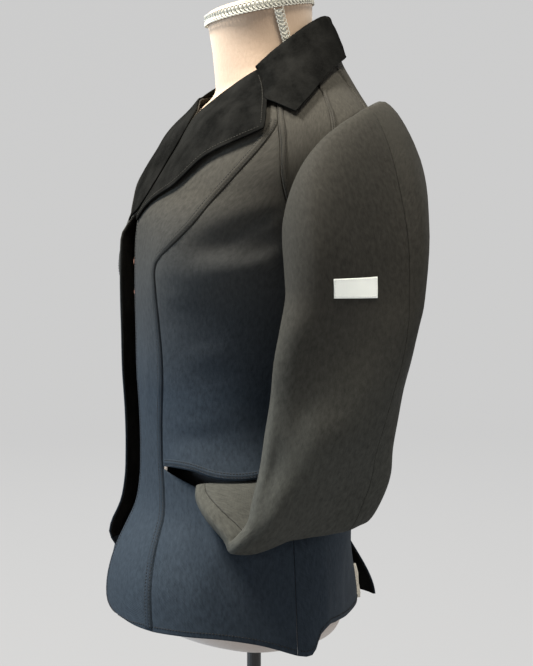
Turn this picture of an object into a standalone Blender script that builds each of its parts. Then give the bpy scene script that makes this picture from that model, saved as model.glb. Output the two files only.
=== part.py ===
"""Fitted show jacket worn by a limbless dress form on a short round stand.

Heights are measured from the lowest hem in millimetres. Angles go round the torso in degrees,
0 at the centre front, 90 at the side and 180 at the centre back.
"""

import bpy
import numpy as np

MM = 0.001

# Stand and form
STAND_DROP = 262.0
BASE_RADIUS = 140.0
BASE_THICK = 16.0
BASE_EDGE = 5.0
POLE_RADIUS = 7.5
COLLAR_RADIUS = 17.0
COLLAR_HEIGHT = 26.0
FORM_BOTTOM = -40.0
FORM_STEPS = 30
FORM_SQUARE = 2.2
NECK_TILT = 0.22
NECK_TILT_FROM = 585.0
CAP_RISE = 9.0

# Mean length of one degree round the torso
MM_PER_DEGREE = 2.6

# Cloth
WALL = 1.6
SEAM = 0.34
SLEEVE_SEAM = 0.7
NAP_WALL = 1.8
LAP = 0.45

# Counts along the seams
N_HEM = 6
EDGE_POWER = 1.5
N_SKIRT = 6
N_BODY = 12
N_NECK = 2
N_SIDE = 7
N_YOKE = 6
N_SHOULDER = 4
N_BACK_HOLE = 6
N_BACK = 8
FACING_FROM = 3
FACING_TO = 16
FACING_COLUMNS = 4
FACING_WALL = 1.0
VENT_ROWS = 4

TORSO = """
height width front back side_y square_f square_b
-10 181 168 108 0 2.30 1.30
20 178 166 107 0 2.30 1.34
60 172 159 104 0 2.30 1.46
80 168 152 101 0 2.25 1.58
100 163 142 99 0 2.25 1.72
120 157 132 98 0 2.20 1.88
145 150 127 97 0 2.20 2.05
175 141 126 95 0 2.20 2.20
215 133 127 90 0 2.20 2.20
260 136 130 91 2 2.25 2.25
300 143 131 97 4 2.30 2.30
340 152 132 105 8 2.35 2.35
375 160 132 112 12 2.40 2.40
400 164 131 116 16 2.40 2.40
420 167 128 119 20 2.35 2.35
440 169 119 121 24 2.30 2.30
457 170 111 122 27 2.30 2.30
475 169 101 122 30 2.25 2.25
490 165 92 121 32 2.20 2.20
505 157 84 120 33 2.20 2.20
520 142 75 118 33 2.15 2.20
535 121 63 114 32 2.10 2.25
550 99 53 109 30 2.10 2.30
565 82 46 103 27 2.10 2.35
580 71 44 96 24 2.10 2.35
600 64 42 89 20 2.10 2.30
"""

# Rises of the whole surface: bust, and the hip below the side
LUMPS = """
angle height across tall rise
38 370 17 50 10
"""

# Soft folds, from one end to the other, as the cloth hangs
FOLDS = """
side angle_a height_a angle_b height_b half_width depth
1 72 402 44 384 14 -6.0
1 77 372 48 356 15 3.5
1 82 336 42 322 24 -3.0
1 70 222 34 214 14 2.0
1 60 204 32 196 11 -2.0
1 96 200 128 186 14 -3.5
1 100 165 126 120 16 3.0
1 104 352 134 372 15 -4.0
1 108 300 140 322 17 3.5
1 104 258 138 262 16 -4.0
1 60 128 52 40 15 2.0
1 78 120 76 20 14 -2.5
1 102 96 104 10 16 3.0
-1 74 398 46 380 15 -5.5
-1 78 366 46 352 14 3.0
-1 82 332 44 318 23 -3.0
-1 68 220 36 210 13 2.0
-1 98 206 130 188 13 -3.0
-1 102 158 128 124 15 2.5
-1 106 350 136 366 14 -4.0
-1 106 296 138 314 18 3.0
-1 102 252 136 260 15 -3.5
-1 80 122 74 22 15 -2.5
-1 100 98 106 12 15 2.5
-1 20 396 22 348 20 5.5
"""

PRINCESS = """
height angle
17 38
60 35
100 31.5
166 26.5
194 26.5
227 28
254 29.5
314 28.4
346 28.3
372 29.7
387 36.4
406 43
438 49
470 55.7
506 63.7
"""
MOUTH_FRONT = 166.0

YOKE = """
angle height
62 553
63.5 530
63.7 506
66 483
70 452
75 427
"""

SHOULDER = """
angle height
93 573
95 550
90 519
88 497
"""

BACK_YOKE = """
angle height
124 581
126 563
127 547
128 525
"""

ARMHOLE_FRONT = """
angle height
90 366
83 374
79 390
76 406
75 427
"""

ARMHOLE_FRONT_TOP = """
angle height
75 427
76 455
80 478
88 497
"""

ARMHOLE_BACK_TOP = """
angle height
88 497
101 511
115 521
128 525
"""

ARMHOLE_BACK = """
angle height
90 366
103 374
114 394
122 425
128 462
130.5 496
128 525
"""

ROLL = """
angle height
2.6 418
7 440
10 457
11 490
13 521
25 542
34 551
46 555
"""

# The right front reaches under the left lapel's fold and crosses the throat
ROLL_RIGHT = """
angle height
2.6 418
-1.5 430
-4.5 441
-7.5 457
-8.5 490
-9.5 512
-7 528
0 537
10 544
20 548.5
33 551.5
46 555
"""

NECK_FRONT = """
angle height
46 555
54 555
62 553
"""

NECK_SIDE = """
angle height
62 553
78 566
93 573
"""

NECK_SHOULDER = """
angle height
93 573
108 577
124 581
"""

NECK_BACK = """
angle height
124 581
150 589
179.8 594
"""

FRONT_CORNER = """
angle height
20 21
12 23
7 29
4 42
2.8 60
2.4 90
2.4 200
2.6 418
"""

HEM_FRONT = """
angle height
20 21
29 18
38 17
"""

HEM_SIDE = """
angle height
38 17
50 18
62 18
74 13
86 2
"""

HEM_BACK = """
angle height
86 2
89 0.5
93 2
95.5 7
97.5 15
102 20
118 18
140 11
160 6
179.8 3
"""

MOUTH_UPPER = """
angle height
26.5 167
36 169
45 168
56 162
66 161
78 166
86 173
"""

MOUTH_LOWER = """
angle height
26.5 165
36 158
45 152
56 147
66 145
78 145
86 150
"""

SIDE_ANGLE = 86.0
SIDE_TOP_ANGLE = 90.0

# Opening of the pocket: the upper lip stands out and the lower lip sinks
MOUTH_ANGLE = 59.0
MOUTH_SPREAD = 27.0
MOUTH_TALL = 24.0
MOUTH_OUT = 9.0
MOUTH_IN = 8.3
MOUTH_START = 26.5
MOUTH_RAMP = 9.0
MOUTH_EDGE = 4.0

BAG_LOW = 98.0
BAG_HIGH = 204.0
BAG_DEPTH = 19.5
BAG_CLEAR = 4.4

# Free edges at the centre front: the right one stands forward of the left one
CURL_OUT = 14.0
CURL_IN = 5.0
CURL_ANGLE = 4.0
CURL_EDGE = 1.5
CURL_VALLEY = 11.0
CURL_TOP = 428.0
CURL_LOW = 92.0
CURL_FADE = 31.0
SKIRT_FALL = 15.0
SKIRT_ANGLE = 46.0
SKIRT_TOP = 106.0
SKIRT_TALL = 50.0

# Centre back vent
VENT_TOP = 96.0
VENT_KICK = 34.0
VENT_TUCK = -9.0
VENT_SPREAD = 22.0

# Lapel: the free edge and the notch edge, and how far they lie off the front
LAPEL_EDGE = """
angle height lift
4.5 414 2.4
13.7 430 4.2
28.4 447.5 6.0
37.6 473 7.0
48.2 486.5 7.0
58.6 498.5 6.5
"""

LAPEL_EDGE_RIGHT = """
angle height lift
4.5 414 2.4
9.5 428 3.8
20 447.5 5.4
31 470 6.6
44 486.5 7.0
58.6 498.5 6.5
"""

LAPEL_TOP = """
angle height lift
56 558 3.2
57.4 545 4.2
57.8 530 5.4
58.1 514 6.2
58.6 498.5 6.5
"""
LAPEL_SEAT = 0.75
LAPEL_STAND = 3.0
LAPEL_OPEN = 2.0
LAPEL_LOW = 410.0
LAPEL_HIGH = 540.0
LAPEL_ROWS = 12
LAPEL_COLUMNS = 5

# Collar: fold line, middle of the fall and outer edge, from the leaf's end to the centre back
COLLAR = """
place fold_x fold_y fold_z mid_x mid_y mid_z edge_x edge_y edge_z
62 66 -17 571 119 -25 532 147.5 -2.6 517.5
78 64 1 587 100 7 560 131.5 15.4 533.4
93 62 18 600 86 27 577 105 37.4 552.1
110 57 37 614 71 48 592 81.5 58 569
128 45 57 626 53 69 605 59 78.8 582.3
152 24 73 633 28 83.5 613 40 89 589
179.8 0 80 636 0 92 617 0 100 592
"""
GORGE = """
angle height lift
57.75 556 3.7
57.75 547 4.2
57.9 538 4.8
58.05 529 5.4
"""
STAND_TUCK = 3.0
FALL_ROWS = 7
FALL_MIDDLE = 4
STAND_ROWS = 3

# Sleeve: rings down the arm, round the fold below the elbow and up to the pocket
SLEEVE = """
x y z half_width half_thick roll tilt yaw bow
204 35.5 339 66 34 0 0 0 0
206 31 312 67 33 0 1 0 0
206 26 282 68 32 0 2 0 0
206 20 250 66 31 0 3 0 0
206 14 220 66 30 0 5 0 0
204 9 190 66 26 0 7 0 0
202 5 165 68.5 21 0 8 0 0
201 -0.5 145 68 15 0 9 0 0
196.5 -10 128 69.5 11.5 45 9 0 0
187 -13 121 70 10.5 90 9 0 0
177.5 -16 128 69 10 130 9 0 0
162 -34 141 62 8.5 124 8 8 2
141 -52 150.5 48 7 118 6 17 6
121 -56 159 38 5.5 124 4 22 7
111.5 -54 169 36 5 150 3 23 7
109.5 -53 178 35 5 170 3 23 7
"""
SLEEVE_SEAT = 0.4
SLEEVE_SQUARE = 0.86
SLEEVE_FLAT = 0.5
CAP_ROWS = 5
CAP_REACH = 46.0
CAP_REACH_LOW = 8.0
CAP_DROP = 62.0
CAP_BACK_DROP = 74.0
CAP_BACK = 17.0

# Long soft folds of the sleeve: place round it, ends along it, half width, depth
SLEEVE_FOLDS = """
side round_a along_a round_b along_b half_width depth
1 60 0.16 150 0.50 0.10 -7.0
1 30 0.22 118 0.55 0.10 5.0
1 20 0.40 96 0.66 0.10 -4.5
1 120 0.20 168 0.34 0.09 4.5
1 150 0.58 60 0.70 0.08 4.0
1 110 0.64 40 0.78 0.07 -3.5
-1 66 0.18 154 0.52 0.10 -6.5
-1 34 0.24 122 0.57 0.11 4.5
-1 24 0.42 100 0.68 0.10 -4.0
-1 124 0.22 170 0.36 0.09 4.0
-1 146 0.60 58 0.72 0.08 3.5
-1 104 0.66 44 0.80 0.07 -3.0
"""

# Sleeve label, by rows down the sleeve and places round it
LABEL_ROW = 4.53
LABEL_TALL = 0.43
LABEL_PLACE = 9.7
LABEL_WIDE = 1.7
LABEL_LIFT = 1.7
LABEL_WALL = 0.6

STUDS = """
row column
9.7 2
8.6 2
7.5 2
"""
STUD_RADIUS = 4.6
STUD_STEPS = 16
STUD_CLEAR = 0.5

FORM = """
height width front back side_y square_b
-40 14 12 26 0 2.0
-38 32 26 58 0 2.0
-33 52 42 75 0 1.9
-25 76 64 86 0 1.8
-15 101 90 92 0 1.7
-3 124 113 95 0 1.6
10 143 130 95 0 1.5
35 155 139 94 0 1.55
70 152 132 93 0 1.7
105 140 117 90 0 1.9
140 121 103 83 0 2.1
175 107 98 75 0 2.2
215 103 100 70 0 2.2
260 113 108 73 1 2.2
300 121 112 80 3 2.2
340 131 116 88 5 2.2
375 141 119 96 8 2.2
405 148 117 102 12 2.2
440 153 108 110 20 2.2
470 155 94 113 27 2.2
490 157 84.5 115 31 2.2
505 151.5 78 114.6 33 2.2
520 136.5 68.5 113 33 2.2
535 115.5 56 108.5 32 2.2
545 94 45 102 30 2.2
554 75 39.5 94 27 2.2
566 63 40 83 21 2.2
582 56 42 74 16 2.2
600 52 44 66 11 2.2
645 52 50 62 6 2.2
"""


def table(text):
    """A table's columns by name."""
    rows = [line.split() for line in text.strip().splitlines()]
    numbers = np.array([[float(v) for v in row] for row in rows[1:]])
    return {name: numbers[:, i] for i, name in enumerate(rows[0])}


def smooth(xs, ys, x):
    """A smooth curve through the rows of a table."""
    x = np.clip(np.asarray(x, float), xs[0], xs[-1])
    slope = np.gradient(ys, xs)
    i = np.clip(np.searchsorted(xs, x, side="right") - 1, 0, len(xs) - 2)
    step = xs[i + 1] - xs[i]
    t = (x - xs[i]) / step
    value = ys[i] * (1 + 2 * t) * (1 - t) ** 2
    value = value + slope[i] * step * t * (1 - t) ** 2
    value = value + ys[i + 1] * t * t * (3 - 2 * t)
    return value + slope[i + 1] * step * t * t * (t - 1)


def ease(x):
    """0 to 1 with flat ends."""
    x = np.clip(x, 0, 1)
    return x * x * (3 - 2 * x)


def unit(v):
    return v / np.maximum(np.linalg.norm(v, axis=-1, keepdims=True), 1e-9)


SECTION = table(TORSO)
LUMP = table(LUMPS)
FOLD = table(FOLDS)
PRINCESS_ROWS = table(PRINCESS)
MOUTH_LINE = table(MOUTH_UPPER)
MOUTH_LINE["height"] = (MOUTH_LINE["height"] + table(MOUTH_LOWER)["height"]) / 2


def section_point(angle, height):
    """A point of the plain torso surface."""
    names = ("width", "front", "back", "side_y", "square_f", "square_b")
    w, f, b, side_y, nf, nb = (smooth(SECTION["height"], SECTION[k], height) for k in names)
    turn = np.radians(angle)
    s = np.sin(turn)
    c = np.cos(turn)
    n = np.where(c > 0, nf, nb)
    k = (np.abs(s) ** n + np.abs(c) ** n) ** (-1 / n)
    depth = np.where(c > 0, f + side_y, b - side_y)
    return np.stack([w * k * s, side_y - depth * k * c, height], -1)


def facing_out(surface, angle, height):
    """The direction that a surface faces."""
    e = 0.4
    across = surface(angle + e, height) - surface(angle - e, height)
    upward = surface(angle, height + e) - surface(angle, height - e)
    return unit(np.cross(across, upward))


def rise_at(angle, height, side):
    """How far the cloth lies off the plain surface."""
    rise = np.zeros(np.shape(angle))
    for a, z, across, tall, top in zip(*LUMP.values()):
        rise = rise + top * np.exp(-(((angle - a) / across) ** 2) - ((height - z) / tall) ** 2)
    for own, a0, z0, a1, z1, half, depth in zip(*FOLD.values()):
        if own != side:
            continue
        dx = (a1 - a0) * MM_PER_DEGREE
        dz = z1 - z0
        px = (angle - a0) * MM_PER_DEGREE
        pz = height - z0
        long = dx * dx + dz * dz
        t = np.clip((px * dx + pz * dz) / long, 0, 1)
        off = np.hypot(px - t * dx, pz - t * dz) / half
        rise = rise + depth * np.exp(-off * off) * (0.35 + 0.65 * np.sin(np.pi * t) ** 0.7)
    return rise


def worn_point(side):
    """The jacket's outer surface on one side, with x towards that side."""

    def surface(angle, height):
        angle, height = np.broadcast_arrays(np.asarray(angle, float), np.asarray(height, float))
        out = facing_out(section_point, angle, height)
        p = section_point(angle, height) + out * rise_at(angle, height, side)[..., None]
        near = np.exp(-(((angle - MOUTH_ANGLE) / MOUTH_SPREAD) ** 4))
        near = near * ease((angle - MOUTH_START) / MOUTH_RAMP)
        over = height - smooth(MOUTH_LINE["angle"], MOUTH_LINE["height"], angle)
        above = np.exp(-np.clip(over - MOUTH_EDGE, 0, None) / MOUTH_TALL)
        below = np.exp(-np.clip(MOUTH_EDGE - over, 0, None) / MOUTH_TALL)
        lip = np.where(over > 0, MOUTH_OUT * above, -MOUTH_IN * below)
        p = p + out * (lip * near)[..., None]
        low = ease((VENT_TOP - height) / VENT_TOP)
        tail = np.exp(-(((180 - angle) / VENT_SPREAD) ** 2)) * low
        if side < 0:
            fade = ease((CURL_TOP - height) / CURL_FADE)
            drop = ease((CURL_LOW - height) / CURL_FADE)
            stand = CURL_OUT * (1 - drop)
            edge = np.exp(-(((angle - CURL_EDGE) / CURL_ANGLE) ** 2)) * stand
            valley = np.exp(-(((angle - CURL_VALLEY) / CURL_ANGLE) ** 2)) * CURL_IN
            p = p + np.stack([0 * fade, (valley - edge) * fade, 0 * fade], -1)
            back_off = SKIRT_FALL * np.exp(-((angle / SKIRT_ANGLE) ** 2)) * ease((SKIRT_TOP - height) / SKIRT_TALL)
            p = p + np.stack([0 * fade, back_off, 0 * fade], -1)
            p = p + np.stack([0 * tail, VENT_KICK * tail, 0 * tail], -1)
        else:
            p = p + np.stack([0 * tail, -VENT_TUCK * tail, 0 * tail], -1)
        return p

    return surface


WORN = {1: worn_point(1), -1: worn_point(-1)}


def curve(text, count, reverse=False, power=1.0):
    """A table of angles and heights as spaced points, closer at the start with a higher power."""
    rows = table(text)
    pts = np.stack([rows["angle"], rows["height"]], 1)
    if reverse:
        pts = pts[::-1]
    return even(pts, count, power)


def even(pts, count, power=1.0):
    """Points spaced evenly along a smooth line through the given ones."""
    size = np.hypot(np.diff(pts[:, 0]) * MM_PER_DEGREE, np.diff(pts[:, 1]))
    t = np.concatenate([[0], np.cumsum(size)])
    fine = np.linspace(0, t[-1], 240)
    dense = np.stack([smooth(t, pts[:, k], fine) for k in range(pts.shape[1])], 1)
    size = np.hypot(np.diff(dense[:, 0]) * MM_PER_DEGREE, np.diff(dense[:, 1]))
    s = np.concatenate([[0], np.cumsum(size)])
    at = np.linspace(0, 1, count + 1) ** power * s[-1]
    return np.stack([np.interp(at, s, dense[:, k]) for k in range(pts.shape[1])], 1)


def joined(*parts):
    """Lines end to end."""
    return np.concatenate([parts[0]] + [p[1:] for p in parts[1:]])


def resample(pts, count):
    size = np.hypot(np.diff(pts[:, 0]) * MM_PER_DEGREE, np.diff(pts[:, 1]))
    s = np.concatenate([[0], np.cumsum(size)])
    at = np.linspace(0, s[-1], count + 1)
    return np.stack([np.interp(at, s, pts[:, k]) for k in range(pts.shape[1])], 1)


def princess(low, high, count):
    z = np.linspace(low, high, count + 1)
    return np.stack([smooth(PRINCESS_ROWS["height"], PRINCESS_ROWS["angle"], z), z], 1)


def patch_between(bottom, top, left, right, power=1.0):
    """A grid of surface places inside four lines, rows going up."""
    nu = len(bottom) - 1
    nv = len(left) - 1
    u = np.linspace(0, 1, nu + 1)[None, :, None] ** power
    v = np.linspace(0, 1, nv + 1)[:, None, None]
    grid = (1 - v) * bottom[None] + v * top[None]
    grid = grid + (1 - u) * left[:, None] + u * right[:, None]
    grid = grid - (1 - u) * (1 - v) * bottom[0] - u * (1 - v) * bottom[-1]
    return grid - (1 - u) * v * top[0] - u * v * top[-1]


def drawn_in(grid, gap):
    """The grid with its rim moved in by half a seam gap."""
    grid = grid.copy()
    nv, nu = grid.shape[0] - 1, grid.shape[1] - 1
    ring = [(0, i) for i in range(nu)] + [(j, nu) for j in range(nv)]
    ring += [(nv, i) for i in range(nu, 0, -1)] + [(j, 0) for j in range(nv, 0, -1)]
    scale = np.array([MM_PER_DEGREE, 1.0])
    pts = np.array([grid[j, i][:2] for j, i in ring]) * scale
    before = unit(pts - np.roll(pts, 1, 0))
    after = unit(np.roll(pts, -1, 0) - pts)
    normal_a = np.stack([-before[:, 1], before[:, 0]], 1)
    normal_b = np.stack([-after[:, 1], after[:, 0]], 1)
    bisector = normal_a + normal_b
    fit = np.maximum((bisector * normal_a).sum(1), 0.35)
    move = bisector / fit[:, None] * gap / 2
    x, z = pts[:, 0], pts[:, 1]
    area = (x * np.roll(z, -1) - np.roll(x, -1) * z).sum()
    if area < 0:
        move = -move
    for k, (j, i) in enumerate(ring):
        grid[j, i, :2] += move[k] / scale
    return grid


def wall_mesh(outer, inner):
    """Points and faces of a closed wall between two equal grids."""
    nv, nu = outer.shape[0] - 1, outer.shape[1] - 1
    count = (nv + 1) * (nu + 1)

    def at(j, i, layer):
        return layer * count + j * (nu + 1) + i

    faces = []
    for j in range(nv):
        for i in range(nu):
            faces.append((at(j, i, 0), at(j, i + 1, 0), at(j + 1, i + 1, 0), at(j + 1, i, 0)))
            faces.append((at(j, i, 1), at(j + 1, i, 1), at(j + 1, i + 1, 1), at(j, i + 1, 1)))
    ring = [(0, i) for i in range(nu)] + [(j, nu) for j in range(nv)]
    ring += [(nv, i) for i in range(nu, 0, -1)] + [(j, 0) for j in range(nv, 0, -1)]
    for k, (j, i) in enumerate(ring):
        jn, im = ring[(k + 1) % len(ring)]
        faces.append((at(j, i, 1), at(jn, im, 1), at(jn, im, 0), at(j, i, 0)))
    points = np.concatenate([outer.reshape(-1, 3), inner.reshape(-1, 3)])
    return points, faces


MATERIALS = {
    "wool": ((0.055, 0.056, 0.055), 0.75, 0.0),
    "wool_lower": ((0.042, 0.050, 0.060), 0.75, 0.0),
    "nap": ((0.012, 0.012, 0.012), 0.85, 0.0),
    "lining": ((0.30, 0.22, 0.18), 0.7, 0.0),
    "bag": ((0.010, 0.010, 0.011), 0.8, 0.0),
    "label": ((0.70, 0.69, 0.66), 0.6, 0.0),
    "stud": ((0.70, 0.38, 0.28), 0.3, 1.0),
    "form": ((0.62, 0.45, 0.38), 0.8, 0.0),
    "braid": ((0.60, 0.60, 0.60), 0.5, 0.0),
    "black": ((0.015, 0.015, 0.015), 0.4, 0.0),
}


def material_for(name, kind):
    colour, rough, metal = MATERIALS[kind]
    mat = bpy.data.materials.new(name + "_mat")
    mat.use_nodes = True
    shader = mat.node_tree.nodes["Principled BSDF"]
    shader.inputs["Base Color"].default_value = (*colour, 1)
    shader.inputs["Roughness"].default_value = rough
    shader.inputs["Metallic"].default_value = metal
    mat.diffuse_color = (*colour, 1)
    return mat


def signed_volume(points, faces):
    total = 0.0
    for face in faces:
        a = points[face[0]]
        for k in range(1, len(face) - 1):
            total += np.dot(a, np.cross(points[face[k]], points[face[k + 1]]))
    return total


def add_solid(name, points, faces, kind):
    """One closed body, in millimetres above the hem, as an object that faces out."""
    points = np.asarray(points, float)
    if signed_volume(points, faces) < 0:
        faces = [tuple(reversed(f)) for f in faces]
    lifted = (points + np.array([0, 0, STAND_DROP])) * MM
    mesh = bpy.data.meshes.new(name)
    mesh.from_pydata([tuple(p) for p in lifted], [], faces)
    mesh.validate()
    for polygon in mesh.polygons:
        polygon.use_smooth = True
    obj = bpy.data.objects.new(name, mesh)
    bpy.context.scene.collection.objects.link(obj)
    mesh.materials.append(material_for(name, kind))
    return obj


def mirrored(points, side):
    return points * np.array([side, 1, 1])


def add_panel(name, grid, side, kind, wall=WALL, lift=0.0, inside=False):
    """A cloth panel over a grid of angles and heights, an optional third value lifting it."""
    grid = drawn_in(grid, SEAM)
    surface = WORN[side]
    angle = grid[..., 0]
    height = grid[..., 1]
    out = facing_out(surface, angle, height)
    rise = lift + (grid[..., 2] if grid.shape[-1] > 2 else 0 * angle)
    outer = surface(angle, height) + out * rise[..., None]
    if inside:
        outer = outer - out * (WALL + LAP)
    inner = outer - out * wall
    points, faces = wall_mesh(outer, inner)
    add_solid(name, mirrored(points, side), faces, kind)
    return inner


def front_lines(side):
    corner = curve(FRONT_CORNER, N_SKIRT + 8)
    roll = curve(ROLL if side > 0 else ROLL_RIGHT, N_BODY + N_NECK - 8)
    left = joined(corner, roll)
    right = joined(
        princess(17, MOUTH_FRONT, N_SKIRT),
        princess(MOUTH_FRONT, 506, N_BODY),
        yoke_neck()[::-1],
    )
    return left, right


def yoke_neck():
    whole = curve(YOKE, 24)
    top = whole[whole[:, 1] > 507]
    return resample(np.concatenate([top, [[63.7, 506]]]), N_NECK)


def yoke_lower():
    whole = curve(YOKE, 24)
    low = whole[whole[:, 1] < 505]
    return resample(np.concatenate([[[63.7, 506]], low]), N_YOKE)


def side_seam(low, high, count):
    z = np.linspace(low, high, count + 1)
    turn = SIDE_ANGLE + (SIDE_TOP_ANGLE - SIDE_ANGLE) * ease((z - MOUTH_FRONT) / 200)
    return np.stack([turn, z], 1)


def add_jacket_side(side):
    tag = "left" if side > 0 else "right"
    left, right = front_lines(side)
    neck = curve(NECK_FRONT, N_HEM, power=EDGE_POWER)
    hem = curve(HEM_FRONT, N_HEM, power=EDGE_POWER)
    grid = patch_between(hem, neck, left, right, EDGE_POWER)
    add_panel("front_" + tag, grid, side, "wool")
    if side < 0:
        strip = drawn_in(grid, SEAM)[FACING_FROM:FACING_TO, :FACING_COLUMNS]
        STRIP_INNER[...] = add_panel("front_facing_right", strip, side, "nap", FACING_WALL, 0.0, True)

    mouth_low = curve(MOUTH_LOWER, N_YOKE)
    mouth_high = curve(MOUTH_UPPER, N_YOKE)
    start = princess(17, MOUTH_FRONT - 1, N_SKIRT)
    hem = curve(HEM_SIDE, N_YOKE)
    low_side = side_seam(hem[-1][1], mouth_low[-1][1], N_SKIRT)
    start[-1] = mouth_low[0]
    grid = patch_between(hem, mouth_low, start, low_side)
    add_panel("lower_front_" + tag, grid, side, "wool_lower")

    inner = princess(MOUTH_FRONT + 1, 506, N_BODY)
    inner[0] = mouth_high[0]
    high_side = side_seam(mouth_high[-1][1], 366, N_SIDE)
    outer = joined(high_side, curve(ARMHOLE_FRONT, N_BODY - N_SIDE))
    grid = patch_between(mouth_high, yoke_lower(), inner, outer)
    add_panel("side_front_" + tag, grid, side, "wool")

    yoke = joined(yoke_neck(), yoke_lower())[::-1]
    shoulder = curve(SHOULDER, N_NECK + N_YOKE, True)
    hole = curve(ARMHOLE_FRONT_TOP, N_SHOULDER)
    grid = patch_between(hole, curve(NECK_SIDE, N_SHOULDER), yoke, shoulder)
    add_panel("front_yoke_" + tag, grid, side, "wool")

    back = curve(BACK_YOKE, N_NECK + N_YOKE, True)
    hole = curve(ARMHOLE_BACK_TOP, N_SHOULDER)
    grid = patch_between(hole, curve(NECK_SHOULDER, N_SHOULDER), shoulder, back)
    add_panel("back_yoke_" + tag, grid, side, "wool")

    hem = curve(HEM_BACK, N_BACK)
    rise = N_SKIRT + N_SIDE + N_BACK_HOLE + N_NECK + N_YOKE + 1
    centre = np.stack([np.full(rise, 179.8), np.linspace(3, 594, rise)], 1)
    if side > 0:
        low = centre[:, 1] < VENT_TOP + 4
        centre[low, 0] -= 3.0 * ease((VENT_TOP + 4 - centre[low, 1]) / 60)
        hem[-1] = centre[0]
    up = joined(
        side_seam(hem[0][1], 366, N_SKIRT + N_SIDE),
        curve(ARMHOLE_BACK, N_BACK_HOLE),
        curve(BACK_YOKE, N_NECK + N_YOKE, True),
    )
    top = curve(NECK_BACK, N_BACK)
    top[-1] = centre[-1]
    grid = patch_between(hem, top, up, centre)
    add_panel("back_" + tag, grid, side, "wool_lower")
    if side < 0:
        strip = drawn_in(grid, SEAM)[:VENT_ROWS, -3:]
        add_panel("vent_facing_right", strip, side, "lining", FACING_WALL, 0.0, True)

    lapel_edge = table(LAPEL_EDGE if side > 0 else LAPEL_EDGE_RIGHT)
    free = even(np.stack([lapel_edge[k] for k in ("angle", "height", "lift")], 1), LAPEL_ROWS)
    lapel_top = table(LAPEL_TOP)
    notch = even(np.stack([lapel_top[k] for k in ("angle", "height", "lift")], 1), LAPEL_COLUMNS)
    roll = table(ROLL if side > 0 else ROLL_RIGHT)
    lift = np.full(len(roll["angle"]), NAP_WALL + LAPEL_SEAT)
    roll = np.stack([roll["angle"], roll["height"], lift], 1)
    roll = even(np.concatenate([roll, notch[:1]]), LAPEL_ROWS)
    bottom = np.linspace(roll[0], free[0], LAPEL_COLUMNS + 1)
    grid = patch_between(bottom, notch, roll, free)
    if side < 0:
        high = grid[..., 1]
        across = np.linspace(0, LAPEL_OPEN, LAPEL_COLUMNS + 1)
        stand = LAPEL_STAND * ease((high - LAPEL_LOW) / 60) * ease((LAPEL_HIGH - high) / 40)
        grid[..., 2] += stand * ease(across)
    add_panel("lapel_" + tag, grid, side, "nap", NAP_WALL)

    low, high = BAG_LOW, BAG_HIGH
    bag = patch_between(
        np.linspace([34, low], [80, low], 7),
        np.linspace([31, high], [82, high], 7),
        np.linspace([34, low], [31, high], 9),
        np.linspace([80, low], [82, high], 9),
    )
    add_bag("pocket_bag_" + tag, bag, side)
    add_sleeve(side, tag)


def add_bag(name, grid, side):
    """The back layer of the pocket, hung behind the mouth and clear of the tucked cuff."""
    surface = WORN[side]
    angle, height = grid[..., 0], grid[..., 1]
    out = facing_out(section_point, angle, height)
    base = section_point(angle, height) + out * rise_at(angle, height, side)[..., None]
    depth = BAG_DEPTH * ease((height - BAG_LOW + 4) / 66) * ease((BAG_HIGH - height) / 20) + BAG_CLEAR
    outer = base - out * depth[..., None]
    outer[-1] = surface(angle[-1], height[-1]) - out[-1] * (WALL + LAP + 0.6)
    points, faces = wall_mesh(outer, outer - out * 1.0)
    add_solid(name, mirrored(points, side), faces, "bag")


def neck_seam():
    """The neck edge from the front yoke to the centre back, as on the panels."""
    return joined(
        curve(NECK_SIDE, N_SHOULDER), curve(NECK_SHOULDER, N_SHOULDER), curve(NECK_BACK, N_BACK)
    )


def collar_half(side):
    """Rows of the collar's outer side from the seam, over the fold, to the free edge."""
    rows = table(COLLAR)
    places = neck_seam()
    surface = WORN[side]
    angle = places[:, 0]
    low = places[:, 1] - STAND_TUCK
    out = facing_out(surface, angle, low)
    seam = surface(angle, low) - out * (WALL + LAP + NAP_WALL)
    spots = []
    for part in ("fold", "mid", "edge"):
        spots.append(np.stack([smooth(rows["place"], rows[part + k], angle) for k in ("_x", "_y", "_z")], 1))
    fold, mid, edge = spots
    up = np.array([0, 0, 1.0])
    outward = unit((mid - fold) * np.array([1, 1, 0]))
    grid = []
    for j in range(STAND_ROWS):
        grid.append(seam + (fold - up * 3 - outward * 1.5 - seam) * j / STAND_ROWS)
    grid.append(fold - up * 1.4 - outward * 1.5)
    grid.append(fold + outward * 1.0)
    grid.append(fold - up * 1.4 + outward * 3.6)
    first = grid[-1]
    for j in range(1, FALL_ROWS + 1):
        if j <= FALL_MIDDLE:
            grid.append(first + (mid - first) * j / FALL_MIDDLE)
        else:
            grid.append(mid + (edge - mid) * (j - FALL_MIDDLE) / (FALL_ROWS - FALL_MIDDLE))
    grid = np.array(grid)
    gorge = table(GORGE)
    away = facing_out(surface, gorge["angle"], gorge["height"])
    line = surface(gorge["angle"], gorge["height"]) + away * gorge["lift"][:, None]
    base = STAND_ROWS + 3
    grid[base : base + FALL_MIDDLE, 0] = line
    for j in range(FALL_MIDDLE + 1, FALL_ROWS + 1):
        t = (j - FALL_MIDDLE) / (FALL_ROWS - FALL_MIDDLE)
        grid[base + j - 1, 0] = line[-1] + (edge[0] - line[-1]) * t
    return mirrored(grid, side)


def collar_profiles():
    """The whole collar's outer side, left to right."""
    left = collar_half(1)
    right = collar_half(-1)[:, ::-1]
    left[:, -1, 0] = 0
    return np.concatenate([left, right[:, 1:]], 1)


def add_collar():
    outer = collar_profiles()
    across = np.gradient(outer, axis=1)
    along = np.gradient(outer, axis=0)
    out = unit(np.cross(across, along))
    points, faces = wall_mesh(outer, outer - out * NAP_WALL)
    add_solid("collar", points, faces, "nap")


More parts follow.
